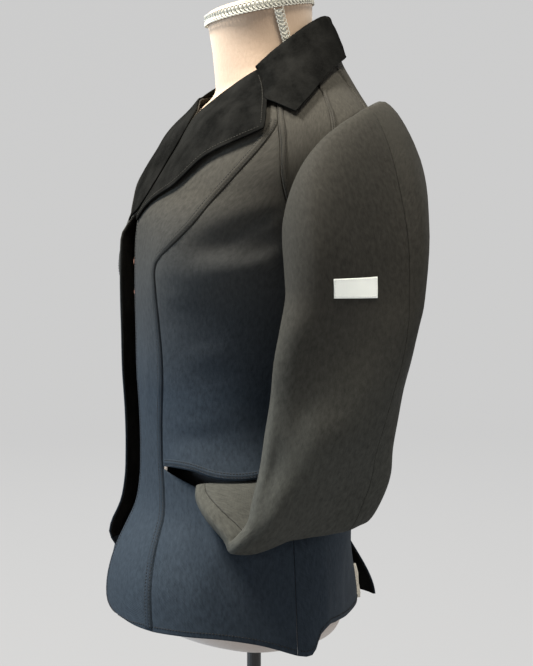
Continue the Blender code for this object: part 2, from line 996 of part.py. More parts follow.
def sleeve_loop(side):
    """The armhole all round: back, top, front, under, as angles and heights."""
    back = curve(ARMHOLE_BACK, N_BACK_HOLE)
    top_back = curve(ARMHOLE_BACK_TOP, N_SHOULDER, True)
    top_front = curve(ARMHOLE_FRONT_TOP, N_SHOULDER, True)
    front = curve(ARMHOLE_FRONT, N_BODY - N_SIDE, True)
    return joined(back, top_back, top_front, front)


def ring_point(row, turn):
    """A point of a sleeve ring; turn 0 is the back, 90 the outer side and 180 the front."""
    c = np.cos(turn)
    s = np.sin(turn)
    square = SLEEVE_FLAT + (SLEEVE_SQUARE - SLEEVE_FLAT) * ease((row["half_thick"] - 6) / 20)
    wide = np.sign(c) * np.abs(c) ** SLEEVE_SQUARE * row["half_width"]
    thick = np.sign(s) * np.abs(s) ** square * row["half_thick"]
    tilt = np.radians(row["tilt"])
    roll = np.radians(row["roll"])
    yaw = np.radians(row["yaw"])
    level = np.array([np.sin(yaw), np.cos(yaw), 0])
    outward = np.array([np.cos(yaw), -np.sin(yaw), 0])
    up = np.array([0, 0, 1.0])
    long_axis = np.cos(tilt) * level + np.sin(tilt) * up
    thick_axis = np.cos(roll) * outward - np.sin(roll) * up
    centre = np.array([row["x"], row["y"], row["z"]])
    bow = row["bow"] * (1 - (wide / row["half_width"]) ** 2)
    points = centre + wide[:, None] * long_axis + thick[:, None] * thick_axis
    return points + bow[:, None] * outward


def sleeve_grid(side):
    """Outer points of the sleeve: rows down the arm, closed round it."""
    loop = sleeve_loop(side)[:-1]
    surface = WORN[side]
    out = facing_out(surface, loop[:, 0], loop[:, 1])
    start = surface(loop[:, 0], loop[:, 1]) + out * SLEEVE_SEAT
    centre = start.mean(0)
    radial = unit(start - centre)
    rows = table(SLEEVE)
    turn = np.arctan2((start - centre)[:, 2], (start - centre)[:, 1])
    turn = np.unwrap(turn)
    span = len(turn)
    turn = 0.25 * turn + 0.75 * (turn[0] + np.arange(span) * 2 * np.pi / span)
    first = ring_point({k: rows[k][0] for k in rows}, turn)
    lead = unit(out * 0.85 + radial * 0.45)
    grid = []
    high = ease(np.sin(turn) * 0.5 + 0.5)[:, None]
    rear = ease(np.cos(turn) * 0.8 + 0.2)[:, None]
    up = np.array([0, 0, 1.0])
    reach = CAP_REACH * np.maximum(high, rear) + CAP_REACH_LOW
    near_start = start + lead * reach
    near_end = first + up * (CAP_DROP * high + CAP_BACK_DROP * rear * (1 - 0.6 * high) + 6)
    near_end = near_end + np.array([0, CAP_BACK, 0]) * rear
    for j in range(CAP_ROWS):
        t = j / CAP_ROWS
        p = (1 - t) ** 3 * start + 3 * t * (1 - t) ** 2 * near_start
        grid.append(p + 3 * t * t * (1 - t) * near_end + t**3 * first)
    cap = len(grid)
    for i in range(len(rows["x"])):
        grid.append(ring_point({k: rows[k][i] for k in rows}, turn))
    grid = np.array(grid)
    inner = grid - grid_normal(grid) * WALL
    for i in range(len(rows["x"])):
        row = {k: rows[k][i] for k in rows}
        row["half_width"] -= WALL
        row["half_thick"] -= WALL
        inner[cap + i] = ring_point(row, turn)
    rise = sleeve_fold_rise(grid, turn, side)
    return grid + rise, inner + rise


def grid_normal(grid):
    """Outward directions of a grid that closes round its second index."""
    around = np.roll(grid, -1, 1) - np.roll(grid, 1, 1)
    along = np.gradient(grid, axis=0)
    return unit(np.cross(around, along))


def sleeve_fold_rise(grid, turn, side):
    rows = table(SLEEVE_FOLDS)
    degrees = np.degrees(turn)[None, :] % 360
    along = np.linspace(0, 1, grid.shape[0])[:, None]
    rise = np.zeros(grid.shape[:2])
    for own, a0, v0, a1, v1, half, depth in zip(*rows.values()):
        if own != side:
            continue
        dx = (a1 - a0) / 200
        dv = v1 - v0
        px = (degrees - a0) / 200
        pv = along - v0
        t = np.clip((px * dx + pv * dv) / (dx * dx + dv * dv), 0, 1)
        off = np.hypot(px - t * dx, pv - t * dv) / half
        rise += depth * np.exp(-off * off)
    return grid_normal(grid) * rise[..., None]


SLEEVE_GRIDS = {}
STRIP_INNER = np.zeros((FACING_TO - FACING_FROM, FACING_COLUMNS, 3))


def add_sleeve(side, tag):
    grid, inner = sleeve_grid(side)
    tangent = unit(np.roll(grid, -1, 1) - np.roll(grid, 1, 1))
    count = grid.shape[1]
    SLEEVE_GRIDS[side] = grid
    pieces = {"top_sleeve_": (8, 17), "under_sleeve_": (17, count + 8)}
    for name, (first, last) in pieces.items():
        index = [k % count for k in range(first, last + 1)]
        o = grid[:, index].copy()
        i = inner[:, index].copy()
        for layer in (o, i):
            layer[:, 0] += tangent[:, index[0]] * SLEEVE_SEAM / 2
            layer[:, -1] -= tangent[:, index[-1]] * SLEEVE_SEAM / 2
        points, faces = wall_mesh(o, i)
        add_solid(name + tag, mirrored(points, side), faces, "wool")


def add_label():
    """A sewn label on the left sleeve, made from the sleeve's own points and moved out."""
    grid = SLEEVE_GRIDS[1]
    out = grid_normal(grid)
    rows = []
    for v in np.linspace(LABEL_ROW, LABEL_ROW + LABEL_TALL, 3):
        line = []
        for u in np.linspace(LABEL_PLACE, LABEL_PLACE + LABEL_WIDE, 4):
            j, i = int(v), int(u)
            fv, fu = v - j, u - i
            p = (grid[j, i] * (1 - fu) + grid[j, i + 1] * fu) * (1 - fv)
            p = p + (grid[j + 1, i] * (1 - fu) + grid[j + 1, i + 1] * fu) * fv
            away = out[j, i] * (1 - fu) + out[j, i + 1] * fu
            line.append(p + away * LABEL_LIFT)
        rows.append(line)
    outer = np.array(rows)
    across = np.gradient(outer, axis=1)
    down = np.gradient(outer, axis=0)
    facing = unit(np.cross(across, down))
    if (facing * out[int(LABEL_ROW), int(LABEL_PLACE)]).sum() < 0:
        facing = -facing
    points, faces = wall_mesh(outer, outer - facing * LABEL_WALL)
    add_solid("sleeve_label", points, faces, "label")


def add_studs():
    """Press studs seated on the strip inside the right front's edge."""
    rows = table(STUDS)
    turn = np.linspace(0, 2 * np.pi, STUD_STEPS, endpoint=False)
    for k in range(len(rows["row"])):
        j, i = int(rows["row"][k]), int(rows["column"][k])
        up = rows["row"][k] - j
        cell = STRIP_INNER[j : j + 2, i : i + 2]
        axis = unit(np.cross(cell[1, 1] - cell[0, 0], cell[0, 1] - cell[1, 0]))
        centre = (cell[0] * (1 - up) + cell[1] * up).mean(0) + axis * STUD_CLEAR
        first = unit(np.cross(axis, [0, 0, 1.0]))
        second = np.cross(axis, first)
        ring = np.cos(turn)[:, None] * first + np.sin(turn)[:, None] * second
        levels = ((1.0, 0.0), (1.0, 0.9), (0.75, 1.7), (0.35, 2.1))
        points = np.concatenate([centre + ring * STUD_RADIUS * r + axis * h for r, h in levels])
        faces = []
        for a in range(len(levels) - 1):
            for b in range(STUD_STEPS):
                n = (b + 1) % STUD_STEPS
                low, high = a * STUD_STEPS, (a + 1) * STUD_STEPS
                faces.append((low + b, low + n, high + n, high + b))
        faces.append(tuple(range(STUD_STEPS))[::-1])
        top = (len(levels) - 1) * STUD_STEPS
        faces.append(tuple(top + b for b in range(STUD_STEPS)))
        add_solid("press_stud_%d" % (k + 1), mirrored(points, -1), faces, "stud")


def lathe(name, rows, count, kind):
    """A closed round body from (radius, height) rows going up."""
    turn = np.linspace(0, 2 * np.pi, count, endpoint=False)
    points = []
    for r, z in rows:
        points.append(np.stack([r * np.cos(turn), r * np.sin(turn), np.full(count, z)], 1))
    points = np.concatenate(points)
    faces = []
    for j in range(len(rows) - 1):
        for i in range(count):
            n = (i + 1) % count
            faces.append((j * count + i, j * count + n, (j + 1) * count + n, (j + 1) * count + i))
    faces.append(tuple(range(count))[::-1])
    faces.append(tuple((len(rows) - 1) * count + i for i in range(count)))
    return add_solid(name, points, faces, kind)


def form_ring(row, count):
    turn = np.linspace(0, 2 * np.pi, count, endpoint=False)
    s = np.sin(turn)
    c = np.cos(turn)
    n = np.where(c > 0, FORM_SQUARE, row["square_b"])
    k = (np.abs(s) ** n + np.abs(c) ** n) ** (-1 / n)
    depth = np.where(c > 0, row["front"] + row["side_y"], row["back"] - row["side_y"])
    y = row["side_y"] - depth * k * c
    z = np.full(count, row["height"])
    z = z + NECK_TILT * (y - row["side_y"]) * ease((row["height"] - NECK_TILT_FROM) / 60)
    return np.stack([row["width"] * k * s, y, z], 1)


def add_form():
    rows = table(FORM)
    count = FORM_STEPS
    rings = []
    for i in range(len(rows["height"])):
        rings.append(form_ring({k: rows[k][i] for k in rows}, count))
    points = np.concatenate(rings)
    faces = []
    for j in range(len(rings) - 1):
        for i in range(count):
            n = (i + 1) % count
            faces.append((j * count + i, j * count + n, (j + 1) * count + n, (j + 1) * count + i))
    faces.append(tuple(range(count))[::-1])
    faces.append(tuple((len(rings) - 1) * count + i for i in range(count)))
    add_solid("form_torso", points, faces, "form")

    top = form_ring({k: rows[k][-1] for k in rows}, count)
    centre = top.mean(0)
    levels = ((1.0, 0.3), (1.0, 3.0), (0.9, 6.0), (0.6, 8.0), (0.25, CAP_RISE))
    cap = [centre + (top - centre) * k + np.array([0, 0, up]) for k, up in levels]
    points = np.concatenate(cap)
    faces = []
    for j in range(len(cap) - 1):
        for i in range(count):
            n = (i + 1) % count
            faces.append((j * count + i, j * count + n, (j + 1) * count + n, (j + 1) * count + i))
    faces.append(tuple(range(count))[::-1])
    faces.append(tuple((len(cap) - 1) * count + i for i in range(count)))
    add_solid("neck_cap", points, faces, "form")


def add_stand():
    floor = -STAND_DROP
    top = floor + BASE_THICK
    lathe(
        "stand_base",
        [
            (BASE_RADIUS - 1.0, floor),
            (BASE_RADIUS, floor + 1.5),
            (BASE_RADIUS, top - BASE_EDGE),
            (BASE_RADIUS - 2, top - 1.5),
            (BASE_RADIUS - BASE_EDGE, top),
            (COLLAR_RADIUS + 6, top + 2),
            (COLLAR_RADIUS, top + 6),
            (COLLAR_RADIUS, top + COLLAR_HEIGHT),
        ],
        48,
        "black",
    )
    lathe(
        "stand_pole",
        [(POLE_RADIUS, top + COLLAR_HEIGHT + 0.3), (POLE_RADIUS, FORM_BOTTOM - 0.3)],
        20,
        "black",
    )


def main():
    for obj in list(bpy.data.objects):
        bpy.data.objects.remove(obj, do_unlink=True)
    add_stand()
    add_form()
    for side in (1, -1):
        add_jacket_side(side)
    add_collar()
    add_label()
    add_studs()


main()
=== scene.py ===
"""Looks of a fitted show jacket worn by a limbless dress form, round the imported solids.

Heights in the tables are in millimetres from the lowest hem, angles in degrees round the torso.
"""

import bpy
import numpy as np
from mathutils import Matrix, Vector


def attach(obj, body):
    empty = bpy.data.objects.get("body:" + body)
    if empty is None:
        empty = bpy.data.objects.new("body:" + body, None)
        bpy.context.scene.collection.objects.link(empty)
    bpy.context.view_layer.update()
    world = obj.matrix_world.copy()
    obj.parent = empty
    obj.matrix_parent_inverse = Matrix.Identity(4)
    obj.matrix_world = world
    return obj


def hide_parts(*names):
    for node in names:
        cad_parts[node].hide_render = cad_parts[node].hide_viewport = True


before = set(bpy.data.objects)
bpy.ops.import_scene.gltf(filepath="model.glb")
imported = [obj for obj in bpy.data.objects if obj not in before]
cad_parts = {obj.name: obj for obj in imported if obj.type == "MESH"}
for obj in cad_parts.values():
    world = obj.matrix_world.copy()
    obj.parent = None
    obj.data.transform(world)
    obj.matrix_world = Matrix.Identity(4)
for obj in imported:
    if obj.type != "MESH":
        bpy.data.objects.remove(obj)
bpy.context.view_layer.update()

MM = 0.001
FINE = 4

# Stand and form
STAND_DROP = 262.0
FORM_SQUARE = 2.2
NECK_TILT = 0.22
NECK_TILT_FROM = 585.0
CAP_RISE = 9.0

# Mean length of one degree round the torso
MM_PER_DEGREE = 2.6

# Cloth
WALL = 1.6
SEAM = 0.34
NAP_WALL = 1.8
LAP = 0.45

# Counts along the seams
N_HEM = 6
EDGE_POWER = 1.5
N_SKIRT = 6
N_BODY = 12
N_NECK = 2
N_SIDE = 7
N_YOKE = 6
N_SHOULDER = 4
N_BACK_HOLE = 6
N_BACK = 8
FACING_FROM = 3
FACING_TO = 16
FACING_COLUMNS = 4
FACING_WALL = 1.0
VENT_ROWS = 4

TORSO = """
height width front back side_y square_f square_b
-10 181 168 108 0 2.30 1.30
20 178 166 107 0 2.30 1.34
60 172 159 104 0 2.30 1.46
80 168 152 101 0 2.25 1.58
100 163 142 99 0 2.25 1.72
120 157 132 98 0 2.20 1.88
145 150 127 97 0 2.20 2.05
175 141 126 95 0 2.20 2.20
215 133 127 90 0 2.20 2.20
260 136 130 91 2 2.25 2.25
300 143 131 97 4 2.30 2.30
340 152 132 105 8 2.35 2.35
375 160 132 112 12 2.40 2.40
400 164 131 116 16 2.40 2.40
420 167 128 119 20 2.35 2.35
440 169 119 121 24 2.30 2.30
457 170 111 122 27 2.30 2.30
475 169 101 122 30 2.25 2.25
490 165 92 121 32 2.20 2.20
505 157 84 120 33 2.20 2.20
520 142 75 118 33 2.15 2.20
535 121 63 114 32 2.10 2.25
550 99 53 109 30 2.10 2.30
565 82 46 103 27 2.10 2.35
580 71 44 96 24 2.10 2.35
600 64 42 89 20 2.10 2.30
"""

# Rise of the whole surface over the bust
LUMPS = """
angle height across tall rise
38 370 17 50 10
"""

# Soft folds, from one end to the other, as the cloth hangs
FOLDS = """
side angle_a height_a angle_b height_b half_width depth
1 72 402 44 384 14 -6.0
1 77 372 48 356 15 3.5
1 82 336 42 322 24 -3.0
1 70 222 34 214 14 2.0
1 60 204 32 196 11 -2.0
1 96 200 128 186 14 -3.5
1 100 165 126 120 16 3.0
1 104 352 134 372 15 -4.0
1 108 300 140 322 17 3.5
1 104 258 138 262 16 -4.0
1 60 128 52 40 15 2.0
1 78 120 76 20 14 -2.5
1 102 96 104 10 16 3.0
-1 74 398 46 380 15 -5.5
-1 78 366 46 352 14 3.0
-1 82 332 44 318 23 -3.0
-1 68 220 36 210 13 2.0
-1 98 206 130 188 13 -3.0
-1 102 158 128 124 15 2.5
-1 106 350 136 366 14 -4.0
-1 106 296 138 314 18 3.0
-1 102 252 136 260 15 -3.5
-1 80 122 74 22 15 -2.5
-1 100 98 106 12 15 2.5
-1 20 396 22 348 20 5.5
"""

PRINCESS = """
height angle
17 38
60 35
100 31.5
166 26.5
194 26.5
227 28
254 29.5
314 28.4
346 28.3
372 29.7
387 36.4
406 43
438 49
470 55.7
506 63.7
"""
MOUTH_FRONT = 166.0

YOKE = """
angle height
62 553
63.5 530
63.7 506
66 483
70 452
75 427
"""
YOKE_CORNER = [[63.7, 506]]

SHOULDER = """
angle height
93 573
95 550
90 519
88 497
"""

BACK_YOKE = """
angle height
124 581
126 563
127 547
128 525
"""

ARMHOLE_FRONT = """
angle height
90 366
83 374
79 390
76 406
75 427
"""

ARMHOLE_FRONT_TOP = """
angle height
75 427
76 455
80 478
88 497
"""

ARMHOLE_BACK_TOP = """
angle height
88 497
101 511
115 521
128 525
"""

ARMHOLE_BACK = """
angle height
90 366
103 374
114 394
122 425
128 462
130.5 496
128 525
"""

ROLL = """
angle height
2.6 418
7 440
10 457
11 490
13 521
25 542
34 551
46 555
"""

# The right front reaches under the left lapel's fold and crosses the throat
ROLL_RIGHT = """
angle height
2.6 418
-1.5 430
-4.5 441
-7.5 457
-8.5 490
-9.5 512
-7 528
0 537
10 544
20 548.5
33 551.5
46 555
"""

NECK_FRONT = """
angle height
46 555
54 555
62 553
"""

NECK_SIDE = """
angle height
62 553
78 566
93 573
"""

NECK_SHOULDER = """
angle height
93 573
108 577
124 581
"""

NECK_BACK = """
angle height
124 581
150 589
179.8 594
"""

FRONT_CORNER = """
angle height
20 21
12 23
7 29
4 42
2.8 60
2.4 90
2.4 200
2.6 418
"""

HEM_FRONT = """
angle height
20 21
29 18
38 17
"""

HEM_SIDE = """
angle height
38 17
50 18
62 18
74 13
86 2
"""

HEM_BACK = """
angle height
86 2
89 0.5
93 2
95.5 7
97.5 15
102 20
118 18
140 11
160 6
179.8 3
"""

MOUTH_UPPER = """
angle height
26.5 167
36 169
45 168
56 162
66 161
78 166
86 173
"""

MOUTH_LOWER = """
angle height
26.5 165
36 158
45 152
56 147
66 145
78 145
86 150
"""

SIDE_ANGLE = 86.0
SIDE_TOP_ANGLE = 90.0

# Opening of the pocket: the upper lip stands out and the lower lip sinks
MOUTH_ANGLE = 59.0
MOUTH_SPREAD = 27.0
MOUTH_TALL = 24.0
MOUTH_OUT = 9.0
MOUTH_IN = 8.3
MOUTH_START = 26.5
MOUTH_RAMP = 9.0
MOUTH_EDGE = 4.0

BAG_LOW = 98.0
BAG_HIGH = 204.0
BAG_DEPTH = 19.5
BAG_CLEAR = 4.4

# Free edges at the centre front: the right one stands forward of the left one
CURL_OUT = 14.0
CURL_IN = 5.0
CURL_ANGLE = 4.0
CURL_EDGE = 1.5
CURL_VALLEY = 11.0
CURL_TOP = 428.0
CURL_LOW = 92.0
CURL_FADE = 31.0
SKIRT_FALL = 15.0
SKIRT_ANGLE = 46.0
SKIRT_TOP = 106.0
SKIRT_TALL = 50.0

# Centre back vent
VENT_TOP = 96.0
VENT_KICK = 34.0
VENT_TUCK = -9.0
VENT_SPREAD = 22.0

# Lapel: the free edge and the notch edge, and how far they lie off the front
LAPEL_EDGE = """
angle height lift
4.5 414 2.4
13.7 430 4.2
28.4 447.5 6.0
37.6 473 7.0
48.2 486.5 7.0
58.6 498.5 6.5
"""

LAPEL_EDGE_RIGHT = """
angle height lift
4.5 414 2.4
9.5 428 3.8
20 447.5 5.4
31 470 6.6
44 486.5 7.0
58.6 498.5 6.5
"""

LAPEL_TOP = """
angle height lift
56 558 3.2
57.4 545 4.2
57.8 530 5.4
58.1 514 6.2
58.6 498.5 6.5
"""
LAPEL_SEAT = 0.75
LAPEL_STAND = 3.0
LAPEL_OPEN = 2.0
LAPEL_LOW = 410.0
LAPEL_HIGH = 540.0
LAPEL_ROWS = 12
LAPEL_COLUMNS = 5

# Collar: fold line, middle of the fall and outer edge, from the leaf's end to the centre back
COLLAR = """
place fold_x fold_y fold_z mid_x mid_y mid_z edge_x edge_y edge_z
62 66 -17 571 119 -25 532 147.5 -2.6 517.5
78 64 1 587 100 7 560 131.5 15.4 533.4
93 62 18 600 86 27 577 105 37.4 552.1
110 57 37 614 71 48 592 81.5 58 569
128 45 57 626 53 69 605 59 78.8 582.3
152 24 73 633 28 83.5 613 40 89 589
179.8 0 80 636 0 92 617 0 100 592
"""
GORGE = """
angle height lift
57.75 556 3.7
57.75 547 4.2
57.9 538 4.8
58.05 529 5.4
"""
STAND_TUCK = 3.0
FALL_ROWS = 7
FALL_MIDDLE = 4
STAND_ROWS = 3

# Sleeve: rings down the arm, round the fold below the elbow and up to the pocket
SLEEVE = """
x y z half_width half_thick roll tilt yaw bow
204 35.5 339 66 34 0 0 0 0
206 31 312 67 33 0 1 0 0
206 26 282 68 32 0 2 0 0
206 20 250 66 31 0 3 0 0
206 14 220 66 30 0 5 0 0
204 9 190 66 26 0 7 0 0
202 5 165 68.5 21 0 8 0 0
201 -0.5 145 68 15 0 9 0 0
196.5 -10 128 69.5 11.5 45 9 0 0
187 -13 121 70 10.5 90 9 0 0
177.5 -16 128 69 10 130 9 0 0
162 -34 141 62 8.5 124 8 8 2
141 -52 150.5 48 7 118 6 17 6
121 -56 159 38 5.5 124 4 22 7
111.5 -54 169 36 5 150 3 23 7
109.5 -53 178 35 5 170 3 23 7
"""
SLEEVE_SEAT = 0.4
SLEEVE_SQUARE = 0.86
SLEEVE_FLAT = 0.5
CAP_ROWS = 5
CAP_REACH = 46.0
CAP_REACH_LOW = 8.0
CAP_DROP = 62.0
CAP_BACK_DROP = 74.0
CAP_BACK = 17.0

# Folds of the sleeve: degrees round it count as this much of its length
SLEEVE_SCALE = 0.005

# Long soft folds of the sleeve: place round it, ends along it, half width, depth
SLEEVE_FOLDS = """
side round_a along_a round_b along_b half_width depth
1 60 0.16 150 0.50 0.10 -7.0
1 30 0.22 118 0.55 0.10 5.0
1 20 0.40 96 0.66 0.10 -4.5
1 120 0.20 168 0.34 0.09 4.5
1 150 0.58 60 0.70 0.08 4.0
1 110 0.64 40 0.78 0.07 -3.5
-1 66 0.18 154 0.52 0.10 -6.5
-1 34 0.24 122 0.57 0.11 4.5
-1 24 0.42 100 0.68 0.10 -4.0
-1 124 0.22 170 0.36 0.09 4.0
-1 146 0.60 58 0.72 0.08 3.5
-1 104 0.66 44 0.80 0.07 -3.0
"""

# Sleeve label, by rows down the sleeve and places round it
LABEL_ROW = 4.53
LABEL_TALL = 0.43
LABEL_PLACE = 9.7
LABEL_WIDE = 1.7
LABEL_LIFT = 1.15
LABEL_WALL = 0.6

FORM = """
height width front back side_y square_b
-40 14 12 26 0 2.0
-38 32 26 58 0 2.0
-33 52 42 75 0 1.9
-25 76 64 86 0 1.8
-15 101 90 92 0 1.7
-3 124 113 95 0 1.6
10 143 130 95 0 1.5
35 155 139 94 0 1.55
70 152 132 93 0 1.7
105 140 117 90 0 1.9
140 121 103 83 0 2.1
175 107 98 75 0 2.2
215 103 100 70 0 2.2
260 113 108 73 1 2.2
300 121 112 80 3 2.2
340 131 116 88 5 2.2
375 141 119 96 8 2.2
405 148 117 102 12 2.2
440 153 108 110 20 2.2
470 155 94 113 27 2.2
490 157 84.5 115 31 2.2
505 151.5 78 114.6 33 2.2
520 136.5 68.5 113 33 2.2
535 115.5 56 108.5 32 2.2
545 94 45 102 30 2.2
554 75 39.5 94 27 2.2
566 63 40 83 21 2.2
582 56 42 74 16 2.2
600 52 44 66 11 2.2
645 52 50 62 6 2.2
"""


def table(text):
    """A table's columns by name."""
    rows = [line.split() for line in text.strip().splitlines()]
    numbers = np.array([[float(v) for v in row] for row in rows[1:]])
    return {name: numbers[:, i] for i, name in enumerate(rows[0])}


def smooth(xs, ys, x):
    """A smooth curve through the rows of a table."""
    x = np.clip(np.asarray(x, float), xs[0], xs[-1])
    slope = np.gradient(ys, xs)
    i = np.clip(np.searchsorted(xs, x, side="right") - 1, 0, len(xs) - 2)
    step = xs[i + 1] - xs[i]
    t = (x - xs[i]) / step
    value = ys[i] * (1 + 2 * t) * (1 - t) ** 2
    value = value + slope[i] * step * t * (1 - t) ** 2
    value = value + ys[i + 1] * t * t * (3 - 2 * t)
    return value + slope[i + 1] * step * t * t * (t - 1)


def ease(x):
    """0 to 1 with flat ends."""
    x = np.clip(x, 0, 1)
    return x * x * (3 - 2 * x)


def unit(v):
    return v / np.maximum(np.linalg.norm(v, axis=-1, keepdims=True), 1e-9)


SECTION = table(TORSO)
LUMP = table(LUMPS)
FOLD = table(FOLDS)
PRINCESS_ROWS = table(PRINCESS)
MOUTH_LINE = table(MOUTH_UPPER)
MOUTH_LINE["height"] = (MOUTH_LINE["height"] + table(MOUTH_LOWER)["height"]) / 2


def run(pts):
    """The distance of each point of a line from its start."""
    return np.concatenate([[0], np.cumsum(np.linalg.norm(np.diff(pts, axis=0), axis=1))])


def at_runs(at, size, pts):
    """The places of a line at these distances from its start."""
    return np.stack([np.interp(at, size, pts[:, k]) for k in range(pts.shape[1])], 1)


def flat_run(pts):
    """The same as run, for a line of angles and heights."""
    size = np.hypot(np.diff(pts[:, 0]) * MM_PER_DEGREE, np.diff(pts[:, 1]))
    return np.concatenate([[0], np.cumsum(size)])


def section_point(angle, height):
    """A point of the plain torso surface."""
    names = ("width", "front", "back", "side_y", "square_f", "square_b")
    w, f, b, side_y, nf, nb = (smooth(SECTION["height"], SECTION[k], height) for k in names)
    turn = np.radians(angle)
    s = np.sin(turn)
    c = np.cos(turn)
    n = np.where(c > 0, nf, nb)
    k = (np.abs(s) ** n + np.abs(c) ** n) ** (-1 / n)
    depth = np.where(c > 0, f + side_y, b - side_y)
    return np.stack([w * k * s, side_y - depth * k * c, height], -1)


def facing_out(surface, angle, height):
    """The direction that a surface faces."""
    e = 0.4
    across = surface(angle + e, height) - surface(angle - e, height)
    upward = surface(angle, height + e) - surface(angle, height - e)
    return unit(np.cross(across, upward))


def troughs(rows, across, along, side, scale, ends, power=1.0):
    """The soft troughs and ridges of a table, at places across and along the cloth."""
    rise = np.zeros(np.broadcast_shapes(np.shape(across), np.shape(along)))
    for own, a0, b0, a1, b1, half, depth in zip(*rows.values()):
        if own != side:
            continue
        da, db = (a1 - a0) * scale, b1 - b0
        pa, pb = (across - a0) * scale, along - b0
        t = np.clip((pa * da + pb * db) / (da * da + db * db), 0, 1)
        off = np.hypot(pa - t * da, pb - t * db) / half
        rise = rise + depth * np.exp(-off * off) * (ends + (1 - ends) * np.sin(np.pi * t) ** power)
    return rise


def rise_at(angle, height, side):
    """How far the cloth lies off the plain surface."""
    rise = np.zeros(np.shape(angle))
    for a, z, across, tall, top in zip(*LUMP.values()):
        rise = rise + top * np.exp(-(((angle - a) / across) ** 2) - ((height - z) / tall) ** 2)
    return rise + troughs(FOLD, angle, height, side, MM_PER_DEGREE, 0.35, 0.7)


def worn_point(side):
    """The jacket's outer surface on one side, with x towards that side."""

    def surface(angle, height):
        angle, height = np.broadcast_arrays(np.asarray(angle, float), np.asarray(height, float))
        out = facing_out(section_point, angle, height)
        p = section_point(angle, height) + out * rise_at(angle, height, side)[..., None]
        near = np.exp(-(((angle - MOUTH_ANGLE) / MOUTH_SPREAD) ** 4))
        near = near * ease((angle - MOUTH_START) / MOUTH_RAMP)
        over = height - smooth(MOUTH_LINE["angle"], MOUTH_LINE["height"], angle)
        above = np.exp(-np.clip(over - MOUTH_EDGE, 0, None) / MOUTH_TALL)
        below = np.exp(-np.clip(MOUTH_EDGE - over, 0, None) / MOUTH_TALL)
        lip = np.where(over > 0, MOUTH_OUT * above, -MOUTH_IN * below)
        p = p + out * (lip * near)[..., None]
        low = ease((VENT_TOP - height) / VENT_TOP)
        tail = np.exp(-(((180 - angle) / VENT_SPREAD) ** 2)) * low
        if side < 0:
            fade = ease((CURL_TOP - height) / CURL_FADE)
            drop = ease((CURL_LOW - height) / CURL_FADE)
            stand = CURL_OUT * (1 - drop)
            edge = np.exp(-(((angle - CURL_EDGE) / CURL_ANGLE) ** 2)) * stand
            valley = np.exp(-(((angle - CURL_VALLEY) / CURL_ANGLE) ** 2)) * CURL_IN
            p = p + np.stack([0 * fade, (valley - edge) * fade, 0 * fade], -1)
            back_off = SKIRT_FALL * np.exp(-((angle / SKIRT_ANGLE) ** 2))
            back_off = back_off * ease((SKIRT_TOP - height) / SKIRT_TALL)
            p = p + np.stack([0 * fade, back_off, 0 * fade], -1)
            p = p + np.stack([0 * tail, VENT_KICK * tail, 0 * tail], -1)
        else:
            p = p + np.stack([0 * tail, -VENT_TUCK * tail, 0 * tail], -1)
        return p

    return surface


WORN = {1: worn_point(1), -1: worn_point(-1)}


def curve(text, count, reverse=False, power=1.0):
    """A table of angles and heights as spaced points, closer at the start with a higher power."""
    rows = table(text)
    pts = np.stack([rows["angle"], rows["height"]], 1)
    if reverse:
        pts = pts[::-1]
    return even(pts, count, power)


def even(pts, count, power=1.0):
    """Points spaced evenly along a smooth line through the given ones."""
    t = flat_run(pts)
    fine = np.linspace(0, t[-1], 240)
    dense = np.stack([smooth(t, pts[:, k], fine) for k in range(pts.shape[1])], 1)
    s = flat_run(dense)
    return at_runs(np.linspace(0, 1, count + 1) ** power * s[-1], s, dense)


def joined(*parts):
    """Lines end to end."""
    return np.concatenate([parts[0]] + [p[1:] for p in parts[1:]])


def resample(pts, count):
    s = flat_run(pts)
    return at_runs(np.linspace(0, s[-1], count + 1), s, pts)


def princess(low, high, count):
    z = np.linspace(low, high, count * FINE + 1)
    return np.stack([smooth(PRINCESS_ROWS["height"], PRINCESS_ROWS["angle"], z), z], 1)


def patch_between(bottom, top, left, right, power=1.0):
    """A grid of surface places inside four lines, rows going up."""
    nu = len(bottom) - 1
    nv = len(left) - 1
    u = np.linspace(0, 1, nu + 1)[None, :, None] ** power
    v = np.linspace(0, 1, nv + 1)[:, None, None]
    grid = (1 - v) * bottom[None] + v * top[None]
    grid = grid + (1 - u) * left[:, None] + u * right[:, None]
    grid = grid - (1 - u) * (1 - v) * bottom[0] - u * (1 - v) * bottom[-1]
    return grid - (1 - u) * v * top[0] - u * v * top[-1]


def drawn_in(grid, gap):
    """The grid with its rim moved in by half a seam gap."""
    grid = grid.copy()
    nv, nu = grid.shape[0] - 1, grid.shape[1] - 1
    ring = [(0, i) for i in range(nu)] + [(j, nu) for j in range(nv)]
    ring += [(nv, i) for i in range(nu, 0, -1)] + [(j, 0) for j in range(nv, 0, -1)]
    scale = np.array([MM_PER_DEGREE, 1.0])
    pts = np.array([grid[j, i][:2] for j, i in ring]) * scale
    before = unit(pts - np.roll(pts, 1, 0))
    after = unit(np.roll(pts, -1, 0) - pts)
    normal_a = np.stack([-before[:, 1], before[:, 0]], 1)
    normal_b = np.stack([-after[:, 1], after[:, 0]], 1)
    bisector = normal_a + normal_b
    fit = np.maximum((bisector * normal_a).sum(1), 0.35)
    move = bisector / fit[:, None] * gap / 2
    x, z = pts[:, 0], pts[:, 1]
    area = (x * np.roll(z, -1) - np.roll(x, -1) * z).sum()
    if area < 0:
        move = -move
    for k, (j, i) in enumerate(ring):
        grid[j, i, :2] += move[k] / scale
    return grid


